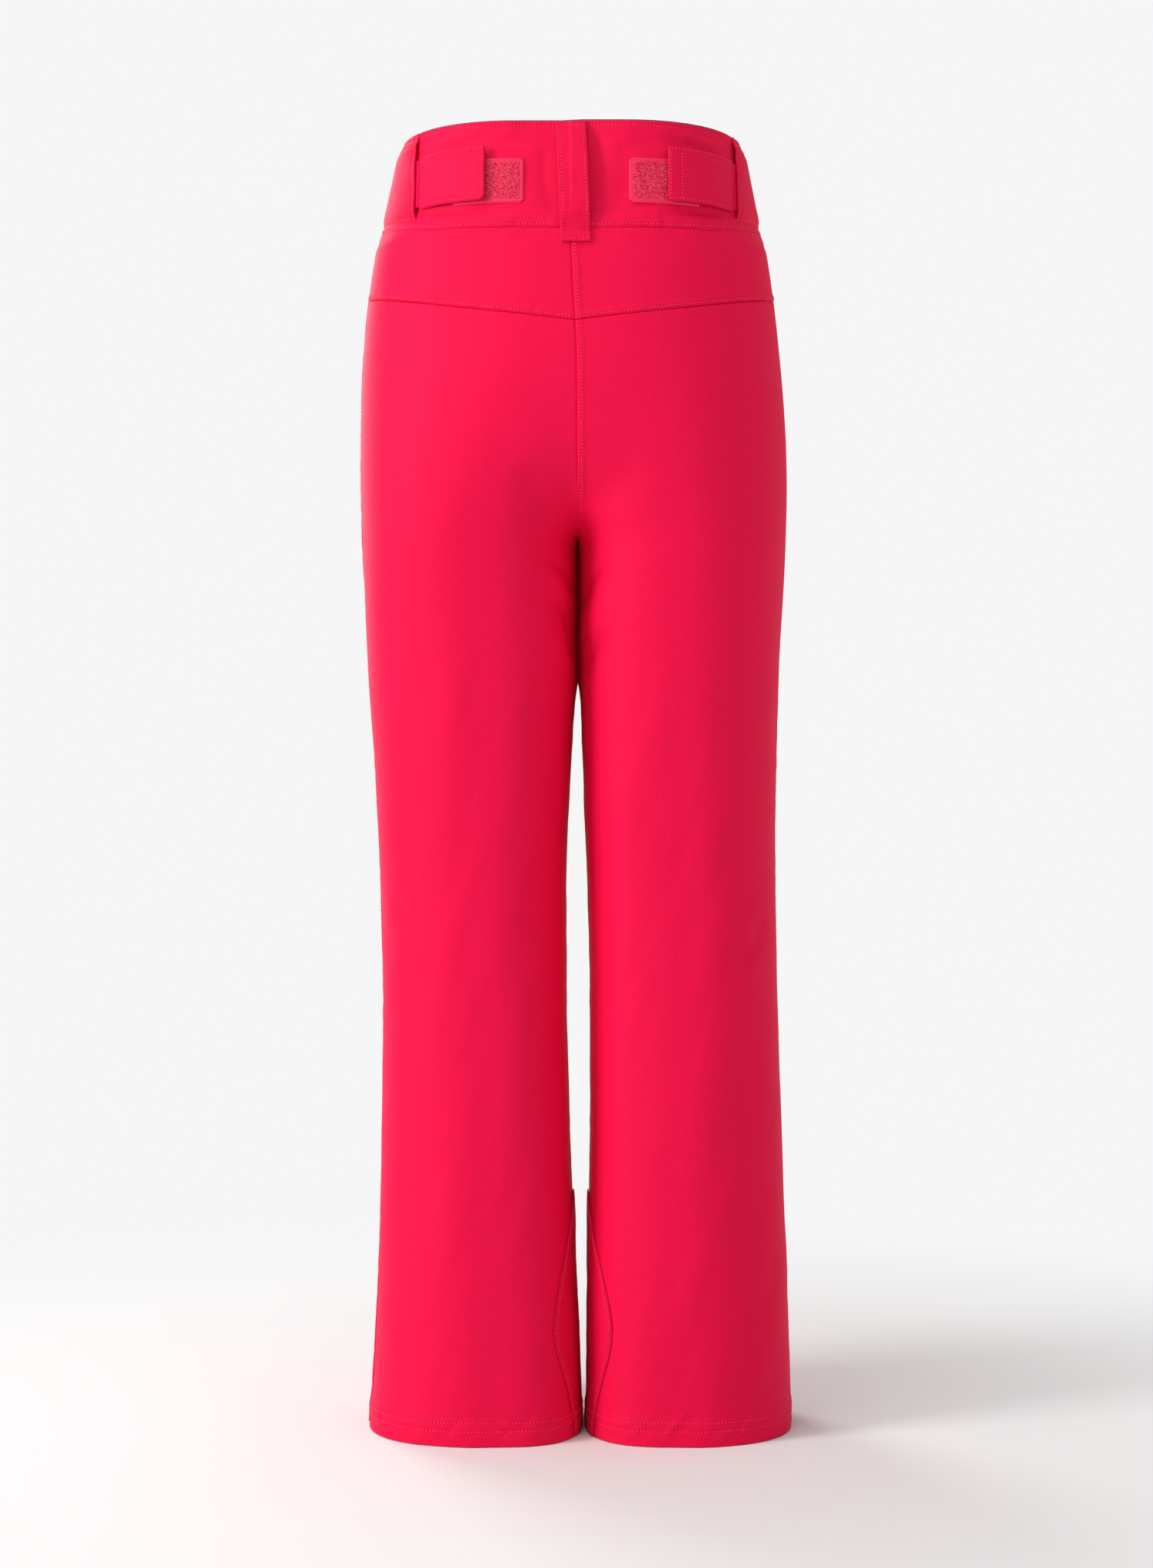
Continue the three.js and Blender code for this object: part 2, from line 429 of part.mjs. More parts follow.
  // scuff guard, a patch over the inner leg at the hem
  const gw = (z) => 75 * Math.pow(Math.max(0.02, Math.sin(Math.PI * clamp((GUARD_H - z) / 262, 0, 0.5))), 0.55) * lerp(0.68, 1, smooth(z / 95));
  {
    const rows = [0.6, 22, 70, 100, 130, 150, 168, 181, GUARD_H];
    const nu = 12;
    const guard = (i, j, o) => {
      const z = rows[j], d = lerp(-1, 1, i / nu) * gw(z);
      const back = d < 0, L = halfLen(s, z, back), kk = Math.abs(d) / L / 2;
      return S(back ? s * Math.max(1e-6, kk) : s * (1 - Math.max(1e-6, kk)), z, o);
    };
    slab(`scuff_guard_${sd}`, nu, rows.length - 1, (i, j) => guard(i, j, 2), (i, j) => guard(i, j, 1.1), SHELL);
  }
}

// ================================================================ waistband
const wbRows = (n) => between((U) => zWaist(U) + GAP / 2, (U) => zTop(U), n);
patch("waistband_back", -0.5 + 0.0006, 0.5 - 0.0006, 28, wbRows(2), BAND_OUT - CLOTH, BAND_OUT, SHELL);
patch("waistband_front_left", 0.5006, (z) => past(1, ZIP_X - 2, z), 14, wbRows(2), BAND_OUT - CLOTH, BAND_OUT, SHELL);
patch("waistband_front_right", -0.5006, (z) => past(-1, HINGE_X - 1, z), 12, wbRows(2), BAND_OUT - CLOTH, BAND_OUT, SHELL);
// inner facing, brushed
const faceRows = between((U) => zWaist(U) + 1.5, (U) => zTop(U) - 1.2, 2);
patch("waistband_facing", (z) => past(-1, HINGE_X - 1, z), (z) => past(1, ZIP_X - 2, z), 52, faceRows, BAND_OUT - CLOTH - 2.2, BAND_OUT - CLOTH - 1, LINING);
const uBack = (s, x, z, d) => { const u = uAtX(s * x, z, true); return u + (s * d) / (2 * halfLen(s, z, true)); }; // d further round from x
for (const [sd, s] of both) {
  const bx = (x, z) => uAtX(s * x, z, true); // U at distance x from the centre back
  // side tunnel over the waistband, open at the back where the tab comes out
  patch(`adjuster_tunnel_${sd}`, (z) => bx(TUNNEL_X, z), s * 0.62, 14, between((U) => zWaist(U) + 0.6, (U) => zTop(U) - 0.6, 2), TUNNEL_OUT - 1, TUNNEL_OUT, SHELL);
  const rowsOf = (a, b) => [a, b];
  patch(`loop_patch_${sd}`, (z) => bx(PATCH_X[0], z), (z) => bx(PATCH_X[1], z), 10, rowsOf(...PATCH_Z), BAND_OUT + 0.4, BAND_OUT + 1.7, HOOK);
  patch(`tab_hook_${sd}`, (z) => bx(TAB_END_X + 4, z), (z) => bx(TAB_END_X + 25, z), 6, rowsOf(966.5, 1004.5), BAND_OUT + 2.1, BAND_OUT + 3.2, HOOK);
  const ROOT = TUNNEL_X - 3.2; // the tab bends just outside the tunnel mouth
  const tabO = (U, z) => { const x = Math.abs(P(U, z).x); return lerp(BAND_OUT + 3.6, BAND_OUT + 0.7, smooth((x - (TAB_END_X + 33)) / (ROOT - TAB_END_X - 33))); };
  patch(`adjuster_tab_${sd}`, (z) => bx(TAB_END_X, z), (z) => bx(ROOT, z), 10, rowsOf(...TAB_Z), tabO, (U, z) => tabO(U, z) + 1.6, SHELL);
  patch(`adjuster_strap_${sd}`, (z) => bx(ROOT + 1, z), (z) => uBack(s, ROOT + 1, z, 34), 8, rowsOf(966, 1005), BAND_OUT + 0.7, BAND_OUT + 2.1, SHELL);
  patch(`adjuster_elastic_${sd}`, (z) => uBack(s, ROOT + 1, z, 36), s * 0.61, 8, rowsOf(966, 1005), BAND_OUT + 0.7, BAND_OUT + 2.1, ELASTIC);
}
// belt loops: sewn on at both ends, standing off in between
function beltLoop(name, xTop, xBot, back) {
  const zs = [zWaist(back ? 0 : 0.85) - 11, zWaist(back ? 0 : 0.85) - 2, 0, 0, 0, 0];
  const top = back ? 1028.6 : zTop(0.85) - 1, z0 = zs[0];
  for (let i = 2; i < 6; i++) zs[i] = lerp(zs[1], top, [0.2, 0.5, 0.85, 1][i - 2]);
  const offs = [0.5, 0.5, 4.2, 5.4, 0.6, -3.2];
  const pt = (i, j, o) => {
    const z = zs[j], c = lerp(xBot, xTop, (z - z0) / (top - z0)), x = c + lerp(-LOOP_W / 2, LOOP_W / 2, i / 2);
    return S(uAtX(x, z, back), z, offs[j] + o);
  };
  slab(name, 2, 5, (i, j) => pt(i, j, 1.5), (i, j) => pt(i, j, 0), SHELL);
}
beltLoop("belt_loop_back", 4.3, 0.4, true);
beltLoop("belt_loop_front_left", 82, 82, false);
beltLoop("belt_loop_front_right", -82, -82, false);

// ================================================================ fly
const slope = new THREE.Vector3(0, -(table(FRONT_Y, 950) - table(FRONT_Y, 800)), 150).normalize();
const flyOut = new THREE.Vector3(0, -1, slope.y / slope.z).normalize();
const flyFrame = { o: new THREE.Vector3(ZIP_X, -table(FRONT_Y, FLY_Z[0]), FLY_Z[0]), z: slope, y: flyOut, x: flyOut.clone().cross(slope).normalize() };
// the front is curved in plan: sit the zip where its own place on the surface is
{
  const p = P(past(-1, ZIP_X, FLY_Z[0]), FLY_Z[0]);
  flyFrame.o.y = p.y;
  flyFrame.o.addScaledVector(flyOut, -1.9);
}
const FLY_L = (FLY_Z[1] - FLY_Z[0]) / slope.z;
addSolid("fly_zip_tape", zipTape(flyFrame, FLY_L - 1, 13), COIL);
const flySlider = at(flyFrame, FLY_L - 8);
addSolid("fly_slider", zipSlider(flySlider, 0), METAL);
addSolid("fly_pull", zipPull(flySlider, 0), TRIM);
const uf = (x, z) => past(1, x, z); // U past the centre front, from the left side
const coverO = (U, z) => { const x = P(U, z).x; return x < -14 ? lerp(-1, 3.3, smooth((x - HINGE_X) / 9)) : lerp(3.3, 0.7, smooth((x + 14) / 16)); };
const flySplit = (x0, x1, n) => Array.from({ length: n + 1 }, (_, i) => lerp(x0, x1, i / n));
function flySheet(name, xs, rows, o0, o1, mat) {
  const g = (i, j, o) => { const z = val(rows[j], uf(xs[i], 950)), U = uf(xs[i], z); return S(U > 1 ? U - 2 : U, z, val(o, U > 1 ? U - 2 : U, z)); };
  slab(name, xs.length - 1, rows.length - 1, (i, j) => g(i, j, o1), (i, j) => g(i, j, o0), mat);
}
const coverX = [HINGE_X + 0.4, -33, -28, -20, -14, -6, 2, 17, OVER_X];
const W0 = 953;
flySheet("fly_cover", coverX, [797, 840, 900, W0 - 0.6], coverO, (U, z) => coverO(U, z) + 1.3, SHELL);
const overO = (U, z) => { const x = P(U, z).x; return lerp(BAND_OUT - CLOTH, 0.3, smooth((x - HINGE_X) / 10)); };
flySheet("waistband_overlap", coverX, [W0 + 0.2, 980, (U) => zTop(U)], overO, (U, z) => overO(U, z) + CLOTH, SHELL);
flySheet("fly_placket", [HINGE_X + 0.6, -31, -24.8], [797, 875, 949], -6.3, -5.4, LINING);
SNAPS.forEach(([x, z], i) => {
  const U = uAtX(x, z, false), n = normal(U, z), p = P(U, z);
  const fr = { o: p, y: n, z: slope, x: n.clone().cross(slope).normalize() };
  fr.z = fr.x.clone().cross(n).normalize();
  addSolid(`snap_cap_${i + 1}`, disc(fr, 7.5, 1.95, 2.9, 24).add(disc(fr, 6.2, 2.8, 3.6, 24)), METAL);
  addSolid(`snap_socket_${i + 1}`, disc(fr, 6, -1.9, -0.1, 24).subtract(disc(fr, 2.7, -3, -0.9, 24)), METAL);
  addSolid(`snap_stud_${i + 1}`, disc(fr, 5.6, BAND_OUT + 0.35, BAND_OUT + 1.2, 24).add(disc(fr, 2.1, BAND_OUT + 1.1, -1.3, 24)), METAL);
});

export { P, S, normal, table, ring, uAtX, zTop, zWaist, zYoke, past, pockets, flyFrame, flySlider, slope, flyOut };
export default root;
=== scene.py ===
# Women's insulated ski pants. Everything is worked out in millimetres in the part's frame and written in metres.
import bpy
import bmesh
import math
import numpy as np
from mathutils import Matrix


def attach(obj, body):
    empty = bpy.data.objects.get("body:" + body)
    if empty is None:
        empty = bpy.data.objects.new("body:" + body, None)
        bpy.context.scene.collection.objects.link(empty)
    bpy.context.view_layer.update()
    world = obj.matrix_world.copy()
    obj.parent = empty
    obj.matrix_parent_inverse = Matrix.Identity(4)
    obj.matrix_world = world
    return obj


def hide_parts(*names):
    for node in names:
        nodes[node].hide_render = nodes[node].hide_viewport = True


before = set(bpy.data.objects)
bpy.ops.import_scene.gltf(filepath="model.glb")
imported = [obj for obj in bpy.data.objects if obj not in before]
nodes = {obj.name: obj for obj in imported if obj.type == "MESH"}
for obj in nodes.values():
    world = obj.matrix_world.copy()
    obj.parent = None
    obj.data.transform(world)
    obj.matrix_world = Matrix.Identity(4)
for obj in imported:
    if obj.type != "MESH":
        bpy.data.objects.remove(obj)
rng = np.random.default_rng(7)


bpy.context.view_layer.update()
ROOT = "garment"

# ---------------------------------------------------------------- tables, as in the part
HEIGHT, CROTCH = 1030.0, 708.0
BAND_OUT, CLOTH = -3.6, 1.3
BACK_FLAT = 44.5
T = {
    "OUT_L": [[0, 166.9], [31.5, 164.8], [93.7, 161.1], [155.9, 158.6], [218, 156.7], [280, 156.1], [342, 156.1], [405, 157.3], [467, 159.8], [529, 162.9], [591, 166.7], [653, 169.8], [716, 172.9], [778, 174.1], [840, 172.9], [871, 170.6], [902, 167.6], [933, 162.7], [964, 156.3], [995.5, 149.3], [1030, 142.3]],
    "OUT_R": [[0, 173.6], [31.5, 172.9], [93.7, 171], [155.9, 168.5], [218, 166], [280, 163.8], [342, 161.9], [405, 160.7], [467, 160.3], [529, 161], [591, 162.4], [653, 165.6], [716, 168.5], [750, 169.2], [778, 168.6], [809, 167], [840, 164.9], [871, 162.3], [902, 158.9], [933, 154], [964, 147.8], [995.5, 141.3], [1030, 135]],
    "IN_L": [[0, -2.5], [31.5, -1.9], [93.7, 0.6], [156, 2.7], [218, 5], [280, 6.8], [342, 8], [405, 8.6], [467, 7.6], [498, 6.2], [529, 4.4], [560, 2.4], [591, 0.3], [650, -0.3], [708, -0.4]],
    "IN_R": [[0, -9.3], [31.5, -9.4], [93.7, -9.9], [156, -10.2], [218, -10.7], [280, -11.2], [342, -11], [405, -9.6], [467, -7.5], [498, -6.2], [529, -5], [560, -3.8], [591, -2.6], [650, -1.8], [708, -1.6]],
    "SEAM_X": [[0, -1], [708, -1], [788, -0.6], [845, -0.2], [870, 1], [885, 1.9], [930, 4], [1030, 5]],
    "BACK_Y": [[0, 86], [60, 84], [150, 82], [250, 80], [330, 78.5], [430, 79], [500, 84], [585, 93], [650, 100], [708, 108], [750, 115], [790, 120.5], [830, 122.5], [870, 120.5], [910, 115.5], [945, 109.5], [985, 103], [1030, 96]],
    "FRONT_Y": [[0, 85], [60, 82], [150, 79.5], [250, 78.5], [330, 80], [430, 84], [500, 88.5], [585, 94], [650, 99], [708, 104], [750, 107], [770, 108.5], [830, 106.077], [890, 103.654], [950, 101.231], [1030, 98]],
    "N_BACK_OUT": [[0, 2.35], [300, 2.25], [600, 2.25], [850, 2.35], [900, 2.5], [950, 2.7], [1030, 2.8]],
    "N_BACK_IN": [[0, 2.9], [300, 2.6], [585, 2.7], [708, 2.7], [800, 2.4], [900, 2.5], [950, 2.7], [1030, 2.8]],
    "N_FRONT": [[0, 2.4], [300, 2.25], [600, 2.25], [850, 2.3], [950, 2.4], [1030, 2.5]],
    "SKEW_L": [[0, 14], [200, 8], [480, 0], [1030, 0]],
    "SKEW_R": [[0, 10], [200, 6], [480, 0], [1030, 0]],
    "Z_TOP": [[0, 1030], [0.3, 1030], [0.5, 1029], [0.65, 1022], [0.82, 1011], [1, 1007]],
    "Z_WAIST": [[0, 942], [0.227, 943.4], [0.34, 948.5], [0.5, 955], [0.7, 955.5], [1, 953]],
    "Z_YOKE": [[0, 870], [0.16, 879.6], [0.29, 889.4], [0.365, 895.3], [0.43, 899.5], [0.5, 904]],
}


def pchip(tab):
    a = np.array(tab, float)
    x, y = a[:, 0], a[:, 1]
    h = np.diff(x)
    d = np.diff(y) / h
    m = np.zeros_like(x)
    m[0], m[-1] = d[0], d[-1]
    for i in range(1, len(x) - 1):
        if d[i - 1] * d[i] > 0:
            w1, w2 = 2 * h[i] + h[i - 1], h[i] + 2 * h[i - 1]
            m[i] = (w1 + w2) / (w1 / d[i - 1] + w2 / d[i])

    def f(z):
        z = np.clip(np.asarray(z, float), x[0], x[-1])
        i = np.clip(np.searchsorted(x, z, side="right") - 1, 0, len(h) - 1)
        s = (z - x[i]) / h[i]
        s2, s3 = s * s, s * s * s
        return (2 * s3 - 3 * s2 + 1) * y[i] + (s3 - 2 * s2 + s) * h[i] * m[i] + (-2 * s3 + 3 * s2) * y[i + 1] + (s3 - s2) * h[i] * m[i + 1]

    return f


F = {k: pchip(v) for k, v in T.items()}


def sm(x):
    x = np.clip(x, 0, 1)
    return x * x * (3 - 2 * x)


def lerp(a, b, k):
    return a + (b - a) * k


# ---------------------------------------------------------------- the reference surface
KI, KO = 56, 64


def ring(side, back, z):
    """Plan polyline of one half ring at each height: from the centre seam or inseam to the side."""
    z = np.asarray(z, float)[:, None]
    seam = F["SEAM_X"](z)
    W = F["OUT_L"](z) - seam if side > 0 else F["OUT_R"](z) + seam
    above = z > CROTCH
    G = np.where(above, 0.0, F["IN_L"](z) - seam if side > 0 else seam - F["IN_R"](z))
    skew = F["SKEW_L" if side > 0 else "SKEW_R"](z)
    rnd = sm((z - 938) / 18) if back else np.zeros_like(z)
    b = lerp(F["BACK_Y"](z), W - BACK_FLAT, rnd) if back else F["FRONT_Y"](z)
    no = F["N_BACK_OUT"](z) if back else F["N_FRONT"](z)
    ni = F["N_BACK_IN"](z) if back else F["N_FRONT"](z)
    hi, p = (905, 1.6) if back else (860, 2)
    kap = np.clip((hi - z) / (hi - CROTCH), 0, 1) ** p
    cx = np.where(above, kap * W / (1 + kap), (W + G) / 2 - skew)
    ao = W - cx
    ai = np.where(above, W / (1 + kap), cx - G)
    r = np.where(above, (26 if back else 16) * sm((z - CROTCH) / 85), 0.0)
    phi0 = np.where(above, np.arccos(np.clip(kap ** (ni / 2), 0, 1)), 0.0)
    k = np.linspace(0, 1, KI + 1)[None, :]
    ph = lerp(phi0, math.pi / 2, k)
    xi = cx - ai * np.clip(np.cos(ph), 0, 1) ** (2 / ni)
    xi[:, :1] = np.where(above, 0.0, G)
    xi[:, -1:] = cx
    k = np.linspace(0, 1, KO + 1)[None, 1:]
    po = k * math.pi / 2
    xo = cx + ao * np.clip(np.sin(po), 0, 1) ** (2 / no)
    x = np.concatenate([xi, xo], 1)
    xe = np.sqrt(x * x + r * r * (1 - (x / W) ** 2).clip(0))
    qi = np.clip((cx - xe) / ai, 0, 1) ** ni
    qo = np.clip((xe - cx) / ao, 0, 1) ** no
    y = b * np.where(xe < cx, (1 - qi).clip(0) ** (1 / ni), (1 - qo).clip(0) ** (1 / no))
    y0i = b * np.clip(np.sin(ph), 0, 1) ** (2 / ni)
    y0o = b * np.clip(np.cos(po), 0, 1) ** (2 / no)
    y = np.where(r > 0, y, np.concatenate([y0i, y0o], 1))
    x[:, -1:] = W
    y[:, -1] = 0
    yr = np.where(x < BACK_FLAT, b, np.sqrt((b * b - (x - BACK_FLAT) ** 2).clip(0)))
    y = lerp(y, yr, rnd)
    s = np.concatenate([np.zeros((len(z), 1)), np.cumsum(np.hypot(np.diff(x, axis=1), np.diff(y, axis=1)), 1)], 1)
    return x, y, s, seam[:, 0]


def length(side, back, z):
    z = np.asarray(z, float)
    zs, inv = np.unique(np.round(z, 3), return_inverse=True)
    out = np.empty(len(zs))
    for i in range(0, len(zs), 4000):
        out[i : i + 4000] = ring(side, back, zs[i : i + 4000])[2][:, -1]
    return out[inv.reshape(-1)].reshape(z.shape)


def place(side, back, e, z):
    """Point at distance e from the side seam, towards the centre (clamped there)."""
    shape = np.broadcast(e, z).shape
    e = np.broadcast_to(e, shape).reshape(-1).astype(float)
    z = np.broadcast_to(z, shape).reshape(-1).astype(float)
    out = np.empty((len(z), 3))
    for i in range(0, len(z), 12000):
        zz, ee = z[i : i + 12000], e[i : i + 12000]
        zu, inv = np.unique(np.round(zz, 3), return_inverse=True)
        x, y, s, seam = ring(side, back, zu)
        L = s[:, -1][inv]
        d = np.clip(L - ee, 0, L)
        si = s[inv]
        j = np.clip((si <= d[:, None]).sum(1) - 1, 0, si.shape[1] - 2)
        a = np.arange(len(zz))
        s0, s1 = si[a, j], si[a, j + 1]
        k = np.where(s1 > s0, (d - s0) / np.where(s1 > s0, s1 - s0, 1), 0)
        px = lerp(x[inv, j], x[inv, j + 1], k)
        py = lerp(y[inv, j], y[inv, j + 1], k)
        out[i : i + 12000, 0] = seam[inv] + side * px
        out[i : i + 12000, 1] = py if back else -py
        out[i : i + 12000, 2] = zz
    return out.reshape(shape + (3,))


def unit(v):
    return v / np.maximum(np.linalg.norm(v, axis=-1, keepdims=True), 1e-12)


def normals(side, back, e, z):
    shape = np.broadcast(e, z).shape
    e = np.broadcast_to(e, shape).astype(float)
    z = np.broadcast_to(z, shape).astype(float)
    L = length(side, back, z)
    ec = np.clip(e, 0.8, np.maximum(L - 0.8, 0.8))
    te = place(side, back, ec + 0.8, z) - place(side, back, ec - 0.8, z)
    tz = place(side, back, ec, np.minimum(z + 1.2, HEIGHT)) - place(side, back, ec, np.maximum(z - 1.2, 0))
    n = unit(np.cross(te, tz))
    # outwards: with e growing from the side towards the centre
    return n * (1 if (side > 0) == bool(back) else -1)


def surf(side, back, e, z, o=0.0):
    p = place(side, back, e, z)
    if np.isscalar(o) and o == 0:
        return p
    return p + normals(side, back, e, z) * np.broadcast_to(o, p.shape[:-1])[..., None]


# ---------------------------------------------------------------- meshes
def mesh_from(name, verts, faces, mat, smooth=True):
    me = bpy.data.meshes.new(name)
    v = np.asarray(verts, float).reshape(-1, 3) * 0.001
    f = np.asarray(faces, np.int32)
    n, k = f.shape
    me.vertices.add(len(v))
    me.vertices.foreach_set("co", v.astype(np.float32).ravel())
    me.loops.add(n * k)
    me.loops.foreach_set("vertex_index", f.ravel())
    me.polygons.add(n)
    me.polygons.foreach_set("loop_start", np.arange(0, n * k, k, dtype=np.int32))
    me.polygons.foreach_set("loop_total", np.full(n, k, np.int32))
    if smooth:
        me.polygons.foreach_set("use_smooth", np.ones(n, bool))
    me.update(calc_edges=True)
    me.validate()
    ob = bpy.data.objects.new(name, me)
    bpy.context.scene.collection.objects.link(ob)
    me.materials.append(mat)
    return ob


def grid_faces(nv, nu, flip=False, wrap=False):
    i = np.arange(nu if wrap else nu - 1)
    j = np.arange(nv - 1)
    I, J = np.meshgrid(i, j)
    a = (J * nu + I).ravel()
    b = (J * nu + (I + 1) % nu).ravel()
    c = ((J + 1) * nu + (I + 1) % nu).ravel()
    d = ((J + 1) * nu + I).ravel()
    f = np.stack([a, b, c, d], 1)
    return f[:, ::-1] if flip else f


def weld(verts, faces, tol=0.004):
    """Merge equal vertices and renumber the faces."""
    v = np.asarray(verts, float).reshape(-1, 3)
    key = np.round(v / tol).astype(np.int64)
    _, first, inv = np.unique(key, axis=0, return_index=True, return_inverse=True)
    inv = inv.reshape(-1)
    f = inv[faces]
    return v[first], f


def grid_obj(name, P, mat, flip=False, wrap=False):
    nv, nu = P.shape[:2]
    f = grid_faces(nv, nu, flip, wrap)
    v = P.reshape(-1, 3)
    # faces with a vanished edge become triangles
    quads, tris = [], []
    a, b, c, d = (v[f[:, i]] for i in range(4))
    e = [np.linalg.norm(q - p, axis=1) < 0.01 for p, q in ((a, b), (b, c), (c, d), (d, a))]
    bad = e[0] | e[1] | e[2] | e[3]
    good = f[~bad]
    rest, ee = f[bad], [x[bad] for x in e]
    tri = []
    for q, k0, k1, k2, k3 in zip(rest, *ee):
        if int(k0) + int(k1) + int(k2) + int(k3) > 1:
            continue
        if k0: tri.append((q[0], q[2], q[3]))
        elif k1: tri.append((q[0], q[1], q[3]))
        elif k2: tri.append((q[0], q[1], q[2]))
        else: tri.append((q[0], q[1], q[2]))
    gf = np.concatenate([np.concatenate([good[:, [0, 1, 2]], good[:, [0, 2, 3]]]), np.array(tri, int).reshape(-1, 3)]) if tri else None
    if gf is None:
        return mesh_from(name, v, good, mat)
    return mesh_from(name, v, gf, mat)


# ---------------------------------------------------------------- fields on the cloth
def hash_noise(x, y, seed):
    """Smooth value noise in -1..1 on a unit lattice."""
    xi, yi = np.floor(x).astype(np.int64), np.floor(y).astype(np.int64)
    fx, fy = x - xi, y - yi
    fx, fy = fx * fx * fx * (fx * (fx * 6 - 15) + 10), fy * fy * fy * (fy * (fy * 6 - 15) + 10)

    def h(a, b):
        n = (a * 374761393 + b * 668265263 + seed * 69069) & 0x7FFFFFFF
        n = ((n ^ (n >> 13)) * 1274126177) & 0x7FFFFFFF
        n = n ^ (n >> 16)
        return (n & 0xFFFF) / 32767.5 - 1.0

    return lerp(lerp(h(xi, yi), h(xi + 1, yi), fx), lerp(h(xi, yi + 1), h(xi + 1, yi + 1), fx), fy)


def fbm(x, y, seed, octaves=3):
    v, a = 0.0, 1.0
    for i in range(octaves):
        v = v + a * hash_noise(x * 2**i, y * 2**i, seed + 17 * i)
        a *= 0.5
    return v


def gauss(d, w):
    return np.exp(-((d / w) ** 2))


def seam_relief(d, along, seed, felled=1.0, rows=(3.2,), pucker=0.35, width=9.0):
    """Height of the cloth at signed distance d from a seam: a groove at d = 0, a ridge of folded cloth on the positive side, dented by the topstitch rows, with puckers that die away."""
    h = -0.7 * gauss(d, 0.9)
    ridge = sm(d / 1.2) * (1 - sm((d - width + 2.2) / 2.6))
    h = h + 0.55 * felled * ridge
    for r in rows:
        hole = 0.6 + 0.4 * np.cos(2 * np.pi * along / 2.8)
        h = h - 0.55 * hole * gauss(d - r, 0.8)
    p = fbm(along / 11.0, d / 26.0, seed, 2) * 0.7 + 0.5 * fbm(along / 5.2, d / 18.0, seed + 5, 2)
    h = h + pucker * p * gauss(d - 1.5, 10.0) * (1 - 0.7 * gauss(d, 0.8))
    return h


def line_dist(x, z, pts):
    """Signed distance to a polyline (positive on its left) and the distance along it."""
    pts = np.asarray(pts, float)
    best = np.full(np.shape(x), 1e9)
    sgn = np.ones(np.shape(x))
    along = np.zeros(np.shape(x))
    acc = 0.0
    for a, b in zip(pts[:-1], pts[1:]):
        t = b - a
        l = math.hypot(*t)
        t = t / l
        u = (x - a[0]) * t[0] + (z - a[1]) * t[1]
        uc = np.clip(u, 0, l)
        dx, dz = x - a[0] - uc * t[0], z - a[1] - uc * t[1]
        d = np.hypot(dx, dz)
        s = t[0] * dz - t[1] * dx
        m = d < best
        best = np.where(m, d, best)
        sgn = np.where(m, np.where(s >= 0, 1, -1), sgn)
        along = np.where(m, acc + uc, along)
        acc += l
    return best * sgn, along


def fold(x, z, pts, w, depth, taper=0.25):
    """A soft crease along a polyline, fading at both ends; depth < 0 is a valley."""
    d, al = line_dist(x, z, pts)
    L = sum(math.hypot(b[0] - a[0], b[1] - a[1]) for a, b in zip(pts[:-1], pts[1:]))
    k = sm(al / (taper * L)) * sm((L - al) / (taper * L))
    return depth * gauss(d, w) * k


